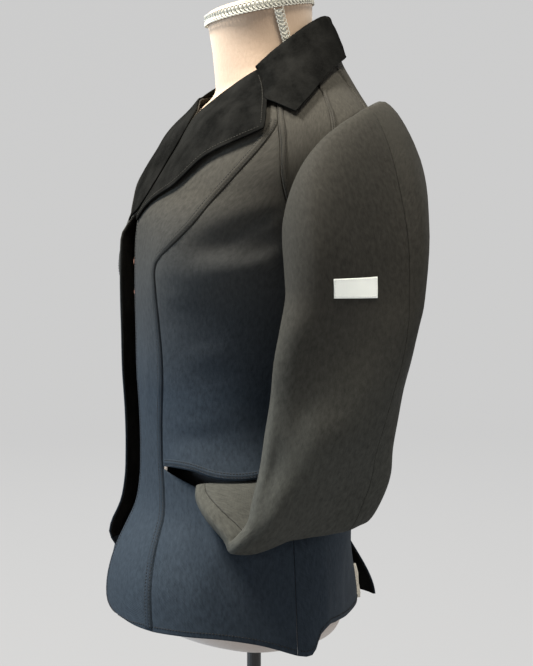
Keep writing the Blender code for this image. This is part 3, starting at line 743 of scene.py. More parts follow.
def front_lines(side):
    corner = curve(FRONT_CORNER, (N_SKIRT + 8) * FINE)
    roll = curve(ROLL if side > 0 else ROLL_RIGHT, (N_BODY + N_NECK - 8) * FINE)
    left = joined(corner, roll)
    right = joined(
        princess(17, MOUTH_FRONT, N_SKIRT),
        princess(MOUTH_FRONT, 506, N_BODY),
        yoke_part(True)[::-1],
    )
    return left, right


def yoke_part(neck):
    """The yoke seam above the side front, or the part beside it."""
    whole = curve(YOKE, 24 * FINE)
    if neck:
        return resample(np.concatenate([whole[whole[:, 1] > 507], YOKE_CORNER]), N_NECK * FINE)
    return resample(np.concatenate([YOKE_CORNER, whole[whole[:, 1] < 505]]), N_YOKE * FINE)


def side_seam(low, high, count):
    z = np.linspace(low, high, count * FINE + 1)
    turn = SIDE_ANGLE + (SIDE_TOP_ANGLE - SIDE_ANGLE) * ease((z - MOUTH_FRONT) / 200)
    return np.stack([turn, z], 1)


def neck_seam():
    """The neck edge from the front yoke to the centre back, as on the panels."""
    return joined(
        curve(NECK_SIDE, N_SHOULDER), curve(NECK_SHOULDER, N_SHOULDER), curve(NECK_BACK, N_BACK)
    )


def collar_half(side):
    """Rows of the collar's outer side from the seam, over the fold, to the free edge."""
    rows = table(COLLAR)
    places = neck_seam()
    surface = WORN[side]
    angle = places[:, 0]
    low = places[:, 1] - STAND_TUCK
    out = facing_out(surface, angle, low)
    seam = surface(angle, low) - out * (WALL + LAP + NAP_WALL)
    spots = []
    for part in ("fold", "mid", "edge"):
        spots.append(np.stack([smooth(rows["place"], rows[part + k], angle) for k in ("_x", "_y", "_z")], 1))
    fold, mid, edge = spots
    up = np.array([0, 0, 1.0])
    outward = unit((mid - fold) * np.array([1, 1, 0]))
    grid = []
    for j in range(STAND_ROWS):
        grid.append(seam + (fold - up * 3 - outward * 1.5 - seam) * j / STAND_ROWS)
    grid.append(fold - up * 1.4 - outward * 1.5)
    grid.append(fold + outward * 1.0)
    grid.append(fold - up * 1.4 + outward * 3.6)
    first = grid[-1]
    for j in range(1, FALL_ROWS + 1):
        if j <= FALL_MIDDLE:
            grid.append(first + (mid - first) * j / FALL_MIDDLE)
        else:
            grid.append(mid + (edge - mid) * (j - FALL_MIDDLE) / (FALL_ROWS - FALL_MIDDLE))
    grid = np.array(grid)
    gorge = table(GORGE)
    away = facing_out(surface, gorge["angle"], gorge["height"])
    line = surface(gorge["angle"], gorge["height"]) + away * gorge["lift"][:, None]
    base = STAND_ROWS + 3
    grid[base : base + FALL_MIDDLE, 0] = line
    for j in range(FALL_MIDDLE + 1, FALL_ROWS + 1):
        t = (j - FALL_MIDDLE) / (FALL_ROWS - FALL_MIDDLE)
        grid[base + j - 1, 0] = line[-1] + (edge[0] - line[-1]) * t
    return mirrored(grid, side)


def collar_profiles():
    """The whole collar's outer side, left to right."""
    left = collar_half(1)
    right = collar_half(-1)[:, ::-1]
    left[:, -1, 0] = 0
    return np.concatenate([left, right[:, 1:]], 1)


def sleeve_loop():
    """The armhole all round: back, top, front, under, as angles and heights."""
    return joined(
        curve(ARMHOLE_BACK, N_BACK_HOLE),
        curve(ARMHOLE_BACK_TOP, N_SHOULDER, True),
        curve(ARMHOLE_FRONT_TOP, N_SHOULDER, True),
        curve(ARMHOLE_FRONT, N_BODY - N_SIDE, True),
    )


def ring_point(row, turn):
    """A point of a sleeve ring; turn 0 is the back, 90 the outer side and 180 the front."""
    c = np.cos(turn)
    s = np.sin(turn)
    square = SLEEVE_FLAT + (SLEEVE_SQUARE - SLEEVE_FLAT) * ease((row["half_thick"] - 6) / 20)
    wide = np.sign(c) * np.abs(c) ** SLEEVE_SQUARE * row["half_width"]
    thick = np.sign(s) * np.abs(s) ** square * row["half_thick"]
    tilt = np.radians(row["tilt"])
    roll = np.radians(row["roll"])
    yaw = np.radians(row["yaw"])
    level = np.array([np.sin(yaw), np.cos(yaw), 0])
    outward = np.array([np.cos(yaw), -np.sin(yaw), 0])
    up = np.array([0, 0, 1.0])
    long_axis = np.cos(tilt) * level + np.sin(tilt) * up
    thick_axis = np.cos(roll) * outward - np.sin(roll) * up
    centre = np.array([row["x"], row["y"], row["z"]])
    bow = row["bow"] * (1 - (wide / row["half_width"]) ** 2)
    points = centre + wide[:, None] * long_axis + thick[:, None] * thick_axis
    return points + bow[:, None] * outward


def sleeve_grid(side):
    """Outer points of the sleeve: rows down the arm, closed round it."""
    loop = sleeve_loop()[:-1]
    surface = WORN[side]
    out = facing_out(surface, loop[:, 0], loop[:, 1])
    start = surface(loop[:, 0], loop[:, 1]) + out * SLEEVE_SEAT
    centre = start.mean(0)
    radial = unit(start - centre)
    rows = table(SLEEVE)
    turn = np.arctan2((start - centre)[:, 2], (start - centre)[:, 1])
    turn = np.unwrap(turn)
    span = len(turn)
    turn = 0.25 * turn + 0.75 * (turn[0] + np.arange(span) * 2 * np.pi / span)
    first = ring_point({k: rows[k][0] for k in rows}, turn)
    lead = unit(out * 0.85 + radial * 0.45)
    grid = []
    high = ease(np.sin(turn) * 0.5 + 0.5)[:, None]
    rear = ease(np.cos(turn) * 0.8 + 0.2)[:, None]
    up = np.array([0, 0, 1.0])
    reach = CAP_REACH * np.maximum(high, rear) + CAP_REACH_LOW
    near_start = start + lead * reach
    near_end = first + up * (CAP_DROP * high + CAP_BACK_DROP * rear * (1 - 0.6 * high) + 6)
    near_end = near_end + np.array([0, CAP_BACK, 0]) * rear
    for j in range(CAP_ROWS):
        t = j / CAP_ROWS
        p = (1 - t) ** 3 * start + 3 * t * (1 - t) ** 2 * near_start
        grid.append(p + 3 * t * t * (1 - t) * near_end + t**3 * first)
    cap = len(grid)
    for i in range(len(rows["x"])):
        grid.append(ring_point({k: rows[k][i] for k in rows}, turn))
    grid = np.array(grid)
    inner = grid - grid_normal(grid) * WALL
    for i in range(len(rows["x"])):
        row = {k: rows[k][i] for k in rows}
        row["half_width"] -= WALL
        row["half_thick"] -= WALL
        inner[cap + i] = ring_point(row, turn)
    down = np.linspace(0, 1, len(grid))[:, None]
    rise = troughs(table(SLEEVE_FOLDS), np.degrees(turn)[None, :] % 360, down, side, SLEEVE_SCALE, 1.0)
    rise = grid_normal(grid) * rise[..., None]
    return grid + rise, inner + rise


def grid_normal(grid):
    """Outward directions of a grid that closes round its second index."""
    around = np.roll(grid, -1, 1) - np.roll(grid, 1, 1)
    along = np.gradient(grid, axis=0)
    return unit(np.cross(around, along))


def form_ring(row, count):
    turn = np.linspace(0, 2 * np.pi, count, endpoint=False)
    s = np.sin(turn)
    c = np.cos(turn)
    n = np.where(c > 0, FORM_SQUARE, row["square_b"])
    k = (np.abs(s) ** n + np.abs(c) ** n) ** (-1 / n)
    depth = np.where(c > 0, row["front"] + row["side_y"], row["back"] - row["side_y"])
    y = row["side_y"] - depth * k * c
    z = np.full(count, row["height"])
    z = z + NECK_TILT * (y - row["side_y"]) * ease((row["height"] - NECK_TILT_FROM) / 60)
    return np.stack([row["width"] * k * s, y, z], 1)


# Fine creases that the shells add to the solids' folds
CREASES = """
side angle_a height_a angle_b height_b half_width depth
1 74 420 56 402 6 -1.6
1 76 410 58 388 6 1.4
1 78 396 60 374 6 -1.3
1 84 372 66 352 7 1.2
1 30 352 46 346 5 -0.9
1 32 340 52 338 5 0.8
1 60 300 40 292 6 -0.9
1 64 286 42 280 6 0.8
1 66 262 44 258 6 -1.0
1 58 236 36 230 5 0.9
1 52 222 32 219 4 -0.8
1 60 208 38 207 5 0.8
1 70 190 50 184 6 -0.8
1 20 300 14 210 6 0.8
1 46 96 40 40 8 0.9
1 66 100 70 44 8 -1.0
1 82 110 80 34 7 0.9
1 112 90 116 24 9 1.1
1 134 88 136 22 9 -1.1
1 150 190 152 120 9 -0.9
1 112 214 146 206 7 -1.1
1 110 232 150 228 7 1.0
1 108 248 144 250 7 -0.9
1 120 420 140 380 9 1.0
1 146 520 158 470 9 -0.9
-1 74 418 56 400 6 -1.5
-1 76 406 60 384 6 1.3
-1 80 392 62 372 6 -1.2
-1 60 302 42 294 6 -0.8
-1 62 266 42 260 6 -0.9
-1 58 238 38 232 5 0.9
-1 62 210 40 208 5 0.8
-1 44 98 40 44 8 0.9
-1 66 96 72 40 8 -0.9
-1 114 92 118 26 9 1.0
-1 136 90 138 26 9 -1.0
-1 114 216 148 208 7 -1.0
-1 112 234 150 230 7 0.9
-1 122 422 142 384 9 0.9
"""
CREASE = table(CREASES)

# Small creases of the sleeve near its bend, by place round it and length down it
SLEEVE_CREASES = """
side round_a along_a round_b along_b half_width depth
1 150 0.60 110 0.50 0.035 -1.8
1 140 0.66 96 0.57 0.035 1.6
1 128 0.71 80 0.63 0.03 -1.4
1 60 0.30 100 0.36 0.04 -1.5
1 52 0.36 96 0.42 0.04 1.3
1 170 0.30 178 0.46 0.04 -1.6
1 30 0.62 62 0.55 0.035 1.4
1 24 0.68 58 0.62 0.03 -1.3
1 90 0.12 96 0.24 0.05 -1.2
-1 148 0.60 108 0.50 0.035 -1.7
-1 138 0.67 94 0.58 0.035 1.5
-1 62 0.31 102 0.37 0.04 -1.4
-1 54 0.37 98 0.43 0.04 1.2
-1 170 0.32 178 0.47 0.04 -1.5
-1 28 0.64 60 0.57 0.035 1.3
"""
SLEEVE_CREASE = table(SLEEVE_CREASES)

EDGE_ROLL = 0.55
EDGE_ROWS = (0.5, 1.5)

STITCH_PITCH = 3.1
STITCH_LONG = 2.2
STITCH_THICK = 0.5
STITCH_SIDES = 5

# A stitch from end to end: place along it, share of the thread's thickness, height
STITCH_PROFILE = (
    (-0.5, 0.35, -0.35),
    (-0.3, 1.0, 0.1),
    (0.0, 1.1, 0.25),
    (0.3, 1.0, 0.1),
    (0.5, 0.35, -0.35),
)

# Topstitched bands: rise of the fold, how much the stitches draw it in, depth of its underside
BAND_RISE = 1.35
BAND_DRAW = 0.55
BAND_UNDER = 0.45
BAND_ROWS = (2.3, 1.2)


def new_object(name, points, faces, uv, material):
    """A mesh object in metres from points in millimetres above the hem."""
    points = (np.asarray(points, float) + np.array([0, 0, STAND_DROP])) * MM
    mesh = bpy.data.meshes.new(name)
    mesh.from_pydata(points.tolist(), [], faces)
    if uv is not None:
        layer = mesh.uv_layers.new(name="cloth")
        loops = np.empty(len(mesh.loops), np.int32)
        mesh.loops.foreach_get("vertex_index", loops)
        layer.data.foreach_set("uv", (np.asarray(uv) * MM)[loops].ravel())
    mesh.polygons.foreach_set("use_smooth", [True] * len(mesh.polygons))
    obj = bpy.data.objects.new(name, mesh)
    bpy.context.scene.collection.objects.link(obj)
    mesh.materials.append(material)
    return obj


def lengths_uv(outer):
    """Distances along a grid from its middle row and column."""
    mid_j, mid_i = outer.shape[0] // 2, outer.shape[1] // 2
    across = np.linalg.norm(np.diff(outer, axis=1), axis=-1)
    down = np.linalg.norm(np.diff(outer, axis=0), axis=-1)
    u = np.concatenate([np.zeros((outer.shape[0], 1)), np.cumsum(across, 1)], 1)
    v = np.concatenate([np.zeros((1, outer.shape[1])), np.cumsum(down, 0)], 0)
    return np.stack([u - u[:, mid_i : mid_i + 1], v - v[mid_j : mid_j + 1]], -1)


def margins(layers, axis):
    """Adds two rows close to each end of an axis to every layer."""
    grids = [np.moveaxis(layer, axis, 0) for layer in layers]
    first = grids[0]
    sizes = [np.maximum(np.linalg.norm(d, axis=-1, keepdims=True), 1e-6)
             for d in (first[1] - first[0], first[-1] - first[-2])]
    made = []
    for grid in grids:
        head = [grid[0] + (grid[1] - grid[0]) * np.minimum(far / sizes[0], 0.2 * far) for far in EDGE_ROWS]
        tail = [grid[-1] + (grid[-2] - grid[-1]) * np.minimum(far / sizes[1], 0.2 * far) for far in EDGE_ROWS]
        made.append(np.moveaxis(np.stack([grid[0], *head, *grid[1:-1], *tail[::-1], grid[-1]]), 0, axis))
    return made


def closed_piece(name, node, outer, inner, uv, material):
    """A closed wall between two grids, as a piece."""
    ids = np.arange(outer.shape[0] * outer.shape[1]).reshape(outer.shape[:2])
    a, b, c, d = ids[:-1, :-1], ids[:-1, 1:], ids[1:, 1:], ids[1:, :-1]
    top = np.stack([a, b, c, d], -1).reshape(-1, 4)
    low = np.stack([a, d, c, b], -1).reshape(-1, 4) + ids.size
    ring = np.concatenate([ids[0, :-1], ids[:-1, -1], ids[-1, :0:-1], ids[:0:-1, 0]])
    after = np.roll(ring, -1)
    rim = np.stack([ring + ids.size, after + ids.size, after, ring], -1)
    points = np.concatenate([outer.reshape(-1, 3), inner.reshape(-1, 3)])
    faces = np.concatenate([top, low, rim])
    if volume_of(points, faces) < 0:
        faces = faces[:, ::-1]
    obj = new_object(name, points, faces.tolist(), np.concatenate([uv.reshape(-1, 2)] * 2), material)
    place(obj, node)
    return obj


def tube_faces(ids):
    """Faces of a closed tube from its rings of point numbers."""
    after = np.roll(ids, -1, 1)
    faces = np.stack([ids[:-1], after[:-1], after[1:], ids[1:]], -1).reshape(-1, 4).tolist()
    return faces + [tuple(ids[0][::-1].tolist()), tuple(ids[-1].tolist())]


def volume_of(points, faces):
    a, b, c, d = (points[faces[:, k]] for k in range(4))
    one = np.einsum("ij,ij->i", a, np.cross(b, c)).sum()
    return one + np.einsum("ij,ij->i", a, np.cross(c, d)).sum()


SHELLS = {}


def cloth_shell(name, node, outer, inner, out, material, held, rests_on, slot):
    """A thin closed shell in place of a cloth node, with softly rolled edges."""
    SHELLS[name] = (outer, out)
    uv = lengths_uv(outer)
    for axis in (0, 1):
        outer, inner, out, uv3 = margins([outer, inner, out, np.pad(uv, ((0, 0), (0, 0), (0, 1)))], axis)
        uv = uv3[..., :2]
    drop = np.zeros(outer.shape[:2])
    for ring, amount in ((0, 1.0), (1, 0.3), (2, 0.04)):
        line = np.zeros_like(drop)
        line[ring : drop.shape[0] - ring, ring : drop.shape[1] - ring] = 1
        line[ring + 1 : drop.shape[0] - ring - 1, ring + 1 : drop.shape[1] - ring - 1] = 0
        drop = np.maximum(drop, line * amount)
    outer = outer - out * (drop * EDGE_ROLL)[..., None]
    area = cut_area(outer)
    obj = closed_piece(name, node, outer, inner, uv, material)
    wide = float(np.median(np.ptp(uv[..., 0], axis=1))) * MM
    tall = float(np.median(np.ptp(uv[..., 1], axis=0))) * MM
    wide, tall = fit_cut(area, wide, tall)


def cut_area(outer):
    """The area of a grid of points in millimetres, in square metres."""
    a = outer[1:, 1:] - outer[:-1, :-1]
    b = outer[1:, :-1] - outer[:-1, 1:]
    return float(np.linalg.norm(np.cross(a, b), axis=-1).sum() / 2) * MM * MM


def fit_cut(area, wide, tall):
    """The rectangle that a cut of this area comes from, a little larger than it."""
    share = area / (wide * tall)
    grow = max(share / 0.92, 1.0) ** 0.5
    return round(wide * grow, 3), round(tall * grow, 3)


def place(obj, node):
    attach(obj, "root")
    if node:
        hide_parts(node)


def torso_layers(grid, side, wall, inside=False):
    """Outer and inner points and directions of a panel's grid of angles and heights."""
    grid = drawn_in(grid, SEAM)
    surface = WORN[side]
    angle, height = grid[..., 0], grid[..., 1]
    out = facing_out(surface, angle, height)
    rise = grid[..., 2] if grid.shape[-1] > 2 else 0 * angle
    base = surface(angle, height) + out * rise[..., None]
    if inside:
        base = base - out * (WALL + LAP)
    fine = troughs(CREASE, angle, height, side, MM_PER_DEGREE, 0.2) * rim_fade(grid.shape[:2])
    outer = base + out * fine[..., None]
    inner = outer - out * wall
    return mirrored(outer, side), mirrored(inner, side), mirrored(out, side)


def rim_fade(size):
    """0 on a grid's rim and 1 a few cells inside."""
    j = np.minimum(np.arange(size[0]), np.arange(size[0])[::-1])[:, None]
    i = np.minimum(np.arange(size[1]), np.arange(size[1])[::-1])[None, :]
    return ease(np.minimum(j, i) / 2.0)


def mirrored(points, side):
    return points * np.array([side, 1, 1])


def inset(shell, edge, distance, span=(0.0, 1.0)):
    """Points and directions along one edge of a shell, this far inside it."""
    lines, dirs = SHELLS[shell]
    if edge in ("left", "right"):
        lines, dirs = lines.transpose(1, 0, 2), dirs.transpose(1, 0, 2)
    if edge in ("right", "top"):
        lines, dirs = lines[::-1], dirs[::-1]
    gone = np.linalg.norm(np.diff(lines, axis=0), axis=-1)
    gone = np.concatenate([np.zeros((1, gone.shape[1])), np.cumsum(gone, 0)])
    count = lines.shape[1]
    pts = np.array([at_runs([distance], gone[:, k], lines[:, k])[0] for k in range(count)])
    nrm = unit(np.array([at_runs([distance], gone[:, k], dirs[:, k])[0] for k in range(count)]))
    size = run(pts)
    at = np.linspace(span[0] * size[-1], span[1] * size[-1], max(count * 2, 8))
    return at_runs(at, size, pts), unit(at_runs(at, size, nrm))


def spaced(pts, nrm, pitch):
    """Centres, facings and headings of stitches along a line."""
    size = run(pts)
    count = max(int(size[-1] / pitch), 2)
    at = (np.arange(count) + 0.5) * size[-1] / count
    ahead = unit(at_runs(at + 0.5, size, pts) - at_runs(at - 0.5, size, pts))
    return at_runs(at, size, pts), unit(at_runs(at, size, nrm)), ahead


def stitches(name, lines, material, lift, long=STITCH_LONG, thick=STITCH_THICK, pitch=STITCH_PITCH):
    """Rows of raised thread stitches along lines of points and directions."""
    all_points, all_faces, base = [], [], 0
    turn = np.arange(STITCH_SIDES) * 2 * np.pi / STITCH_SIDES
    for pts, nrm in lines:
        centre, away, ahead = spaced(pts, nrm, pitch)
        side = unit(np.cross(ahead, away))
        for t, fat, up in STITCH_PROFILE:
            mid = centre + ahead * (t * long) + away * (lift + up * thick)
            for angle in turn:
                ring = side * np.cos(angle) * thick * fat + away * np.sin(angle) * thick * fat * 0.8
                all_points.append(mid + ring)
        count, rows = len(centre), len(STITCH_PROFILE)
        ids = base + np.arange(rows * STITCH_SIDES * count).reshape(rows, STITCH_SIDES, count)
        for k in range(count):
            all_faces += tube_faces(ids[..., k])
        base += ids.size
    place(new_object(name, np.concatenate(all_points), all_faces, None, material), None)


def seam_band(name, shell, edge, width, material, span):
    """The raised fold of a topstitched seam, with two rows of stitches drawn into it."""
    profile = (
        (0.5, -0.25),
        (0.9, 0.75),
        (1.6, 0.8),
        (BAND_ROWS[0], 0.42),
        (3.1, 0.92),
        (0.5 * width + 0.6, 1.0),
        (width - 2.0, 0.92),
        (width - BAND_ROWS[1], 0.42),
        (width - 0.5, 0.75),
        (width + 0.1, 0.45),
        (width + 0.4, -0.25),
    )
    outer, inner, total = [], [], 0
    for distance, up in profile:
        pts, nrm = inset(shell, edge, distance, span)
        size = run(pts)
        total = total or int(size[-1] / (STITCH_PITCH / 2)) // 2 * 2 + 1
        at = np.linspace(0, size[-1], total)
        pts, nrm = at_runs(at, size, pts), unit(at_runs(at, size, nrm))
        drawn = 1 + BAND_DRAW * np.cos(np.arange(total) * np.pi) * (0.3 < up < 0.99)
        slow = 0.12 * np.sin(at / 9.0) + 0.08 * np.sin(at / 5.3 + 1)
        outer.append(pts + nrm * ((up * drawn + slow * (up > 0)) * BAND_RISE)[:, None])
        inner.append(pts - nrm * BAND_UNDER)
    outer = np.array(outer)
    closed_piece(name, None, outer, np.array(inner), lengths_uv(outer), material)
    return BAND_ROWS[0], width - BAND_ROWS[1]


def refine(grid, kv, ku, closed=False):
    """A grid with smooth rows and columns between the given ones."""

    def along(values, k, ring):
        n = len(values)
        if ring:
            values = np.concatenate([values[-2:], values, values[:3]])
            x = np.arange(-2, n + 3, dtype=float)
            at = np.arange(n * k) / k
        else:
            x = np.arange(n, dtype=float)
            at = np.arange((n - 1) * k + 1) / k
        flat = values.reshape(len(values), -1)
        slope = np.gradient(flat, axis=0)
        i = np.clip(np.searchsorted(x, at, side="right") - 1, 0, len(x) - 2)
        t = (at - x[i])[:, None]
        y = flat[i] * (1 + 2 * t) * (1 - t) ** 2 + slope[i] * t * (1 - t) ** 2
        y = y + flat[i + 1] * t * t * (3 - 2 * t) + slope[i + 1] * t * t * (t - 1)
        return y.reshape((len(at),) + values.shape[1:])

    rows = along(grid, kv, False)
    return along(rows.transpose(1, 0, 2), ku, closed).transpose(1, 0, 2)


# Materials
def node_tree(name):
    mat = bpy.data.materials.new(name)
    mat.use_nodes = True
    tree = mat.node_tree
    return mat, tree, tree.nodes["Principled BSDF"]


def mix_colour(tree, factor, first, second):
    node = tree.nodes.new("ShaderNodeMix")
    node.data_type = "RGBA"
    tree.links.new(factor, node.inputs["Factor"])
    for key, value in ((6, first), (7, second)):
        if isinstance(value, tuple):
            node.inputs[key].default_value = (*value, 1)
        else:
            tree.links.new(value, node.inputs[key])
    return node.outputs[2]


def math_node(tree, operation, first, second=0.5):
    node = tree.nodes.new("ShaderNodeMath")
    node.operation = operation
    for key, value in ((0, first), (1, second)):
        if isinstance(value, (int, float)):
            node.inputs[key].default_value = value
        else:
            tree.links.new(value, node.inputs[key])
    return node.outputs[0]


def times(tree, value, gain):
    return math_node(tree, "MULTIPLY", value, gain)


def rough_by(tree, shader, value, gain, base):
    """Roughness that varies with a pattern."""
    tree.links.new(math_node(tree, "ADD", times(tree, value, gain), base), shader.inputs["Roughness"])


def finish_cloth(shader, sheen, gloss):
    shader.inputs["Sheen Weight"].default_value = sheen
    shader.inputs["Specular IOR Level"].default_value = gloss


def noise(tree, source, scale, detail=2.0, rough=0.5, stretch=(1, 1, 1)):
    mapping = tree.nodes.new("ShaderNodeMapping")
    mapping.inputs["Scale"].default_value = stretch
    tree.links.new(source, mapping.inputs["Vector"])
    node = tree.nodes.new("ShaderNodeTexNoise")
    node.inputs["Scale"].default_value = scale
    node.inputs["Detail"].default_value = detail
    node.inputs["Roughness"].default_value = rough
    tree.links.new(mapping.outputs[0], node.inputs["Vector"])
    return node.outputs["Fac"]


def wave(tree, source, period, turn, distort=0.0):
    """Parallel ribs this far apart, in metres, turned in the cloth's plane."""
    mapping = tree.nodes.new("ShaderNodeMapping")
    mapping.inputs["Rotation"].default_value = (0, 0, turn)
    tree.links.new(source, mapping.inputs["Vector"])
    node = tree.nodes.new("ShaderNodeTexWave")
    node.bands_direction = "X"
    node.inputs["Scale"].default_value = 2 * np.pi / (20 * period)
    node.inputs["Distortion"].default_value = distort
    tree.links.new(mapping.outputs[0], node.inputs["Vector"])
    return node.outputs["Fac"]


def spread(tree, value, low, high):
    node = tree.nodes.new("ShaderNodeMapRange")
    node.inputs["From Min"].default_value = low
    node.inputs["From Max"].default_value = high
    tree.links.new(value, node.inputs["Value"])
    return node.outputs["Result"]


def bump(tree, shader, heights):
    """Stacks (height, strength, distance) bumps on a shader."""
    normal = None
    for value, strength, distance in heights:
        node = tree.nodes.new("ShaderNodeBump")
        node.inputs["Strength"].default_value = strength
        node.inputs["Distance"].default_value = distance
        tree.links.new(value, node.inputs["Height"])
        if normal is not None:
            tree.links.new(normal, node.inputs["Normal"])
        normal = node.outputs["Normal"]
    tree.links.new(normal, shader.inputs["Normal"])


def sources(tree):
    """Places in the cloth's plane, and places in the object."""
    coords = tree.nodes.new("ShaderNodeTexCoord")
    return coords.outputs["UV"], coords.outputs["Object"]


def paint_light_by_height(tree, solid, colour, painted_light):
    """Paints light and shade by height: tints a colour from one tone at a lower height to another at an upper
    height.
    """
    if painted_light is None:
        return colour
    low, high, low_tone, high_tone = painted_light
    split = tree.nodes.new("ShaderNodeSeparateXYZ")
    tree.links.new(solid, split.inputs[0])
    tone = mix_colour(tree, spread(tree, split.outputs[2], low, high), low_tone, high_tone)
    node = tree.nodes.new("ShaderNodeMix")
    node.data_type = "RGBA"
    node.blend_type = "MULTIPLY"
    node.inputs["Factor"].default_value = 1.0
    tree.links.new(colour, node.inputs[6])
    tree.links.new(tone, node.inputs[7])
    return node.outputs[2]


def wool(name, dark, mid, light, sheen=0.01, rough=0.8, painted_light=None):
    """Fine twill with a heathered colour, a soft bloom, slightly shinier worn places and, where given,
    painted light and shade by height.
    """
    mat, tree, shader = node_tree(name)
    flat, solid = sources(tree)
    broad = spread(tree, noise(tree, solid, 9.0, 3.0, 0.55), 0.32, 0.68)
    mottle = spread(tree, noise(tree, flat, 260.0, 3.0, 0.65, (1, 0.55, 1)), 0.3, 0.7)
    slub = spread(tree, noise(tree, flat, 900.0, 2.0, 0.6, (1, 0.18, 1)), 0.3, 0.7)
    twill = wave(tree, flat, 0.0011, 0.95, 1.2)
    cross = wave(tree, flat, 0.0009, -0.62, 0.8)
    colour = mix_colour(tree, broad, dark, mid)
    colour = mix_colour(tree, times(tree, mottle, 0.55), colour, light)
    grain = math_node(tree, "ADD", times(tree, twill, 0.5), times(tree, slub, 0.5))
    colour = mix_colour(tree, times(tree, grain, 0.45), colour, light)
    # Painted light and shade: the colour is tinted lighter or darker by height
    colour = paint_light_by_height(tree, solid, colour, painted_light)
    tree.links.new(colour, shader.inputs["Base Color"])
    worn = spread(tree, noise(tree, solid, 26.0, 4.0, 0.6), 0.35, 0.7)
    rough_by(tree, shader, worn, -0.12, rough)
    finish_cloth(shader, sheen, 0.03)
    shader.inputs["Sheen Roughness"].default_value = 0.45
    shader.inputs["Sheen Tint"].default_value = (0.75, 0.78, 0.82, 1)
    ripple = noise(tree, solid, 60.0, 3.0, 0.5)
    fine = ((mottle, 0.30, 0.0003), (twill, 0.35, 0.00016), (cross, 0.18, 0.0001), (slub, 0.30, 0.00012))
    bump(tree, shader, ((ripple, 0.22, 0.0016), *fine))
    return mat


def nap(name, dark, light):
    """Black brushed cloth whose pile lies in slightly different directions."""
    mat, tree, shader = node_tree(name)
    flat, solid = sources(tree)
    brushed = spread(tree, noise(tree, solid, 32.0, 4.0, 0.62, (1, 1, 0.45)), 0.36, 0.66)
    fibre = spread(tree, noise(tree, flat, 1500.0, 2.0, 0.7, (1, 0.3, 1)), 0.3, 0.7)
    speck = spread(tree, noise(tree, solid, 520.0, 2.0, 0.6), 0.35, 0.75)
    colour = mix_colour(tree, brushed, dark, light)
    colour = mix_colour(tree, times(tree, speck, 0.35), colour, light)
    tree.links.new(colour, shader.inputs["Base Color"])
    rough_by(tree, shader, brushed, -0.1, 0.92)
    finish_cloth(shader, 0.012, 0.0)
    shader.inputs["Sheen Roughness"].default_value = 0.35
    shader.inputs["Sheen Tint"].default_value = (0.62, 0.62, 0.60, 1)
    wrinkle = noise(tree, solid, 75.0, 3.0, 0.5)
    bump(tree, shader, ((wrinkle, 0.5, 0.0022), (fibre, 0.6, 0.0003), (speck, 0.4, 0.0003)))
    return mat


def plain_cloth(name, dark, light, period, sheen=0.2, rough=0.7, gloss=0.3):
    """A plain weave of two crossed sets of threads."""
    mat, tree, shader = node_tree(name)
    flat, solid = sources(tree)
    warp = wave(tree, flat, period, 0.0, 0.6)
    weft = wave(tree, flat, period, np.pi / 2, 0.6)
    broad = spread(tree, noise(tree, solid, 18.0, 3.0, 0.5), 0.3, 0.7)
    threads = times(tree, warp, weft)
    colour = mix_colour(tree, times(tree, broad, 0.6), dark, light)
    colour = mix_colour(tree, times(tree, threads, 0.4), colour, light)
    tree.links.new(colour, shader.inputs["Base Color"])
    rough_by(tree, shader, broad, -0.1, rough)
    finish_cloth(shader, sheen, gloss)
    bump(tree, shader, ((broad, 0.25, 0.0012), (warp, 0.4, 0.00015), (weft, 0.4, 0.00015)))
    return mat


def knit_cover(name, dark, light):
    """The close knitted cover of the form."""
    mat, tree, shader = node_tree(name)
    solid = sources(tree)[1]
    broad = spread(tree, noise(tree, solid, 8.0, 3.0, 0.5), 0.3, 0.7)
    fine = spread(tree, noise(tree, solid, 420.0, 2.0, 0.6, (1, 1, 0.5)), 0.3, 0.7)
    colour = mix_colour(tree, times(tree, broad, 0.7), dark, light)
    colour = mix_colour(tree, times(tree, fine, 0.3), colour, light)
    # Painted light: the cover is tinted bluer towards the bottom and warmer towards the top
    colour = paint_light_by_height(tree, solid, colour, (0.30, 0.75, (1.0, 1.14, 1.4), (1.0, 1.0, 1.0)))
    tree.links.new(colour, shader.inputs["Base Color"])
    rough_by(tree, shader, fine, -0.1, 0.75)
    finish_cloth(shader, 0.3, 0.3)
    bump(tree, shader, ((broad, 0.2, 0.002), (fine, 0.5, 0.00025)))
    return mat


def metal(name, colour, rough):
    mat, tree, shader = node_tree(name)
    solid = sources(tree)[1]
    worn = spread(tree, noise(tree, solid, 600.0, 3.0, 0.6), 0.3, 0.7)
    dull = tuple(c * 0.8 for c in colour)
    tree.links.new(mix_colour(tree, worn, dull, colour), shader.inputs["Base Color"])
    rough_by(tree, shader, worn, 0.12, rough)
    shader.inputs["Metallic"].default_value = 1.0
    bump(tree, shader, ((worn, 0.15, 0.0001),))
    return mat


def paint(name, dark, light, rough):
    mat, tree, shader = node_tree(name)
    solid = sources(tree)[1]
    broad = spread(tree, noise(tree, solid, 30.0, 4.0, 0.6), 0.3, 0.7)
    fine = spread(tree, noise(tree, solid, 700.0, 2.0, 0.6), 0.3, 0.7)
    tree.links.new(mix_colour(tree, broad, dark, light), shader.inputs["Base Color"])
    rough_by(tree, shader, broad, 0.15, rough)
    shader.inputs["Coat Weight"].default_value = 0.15
    bump(tree, shader, ((fine, 0.15, 0.0001),))
    return mat
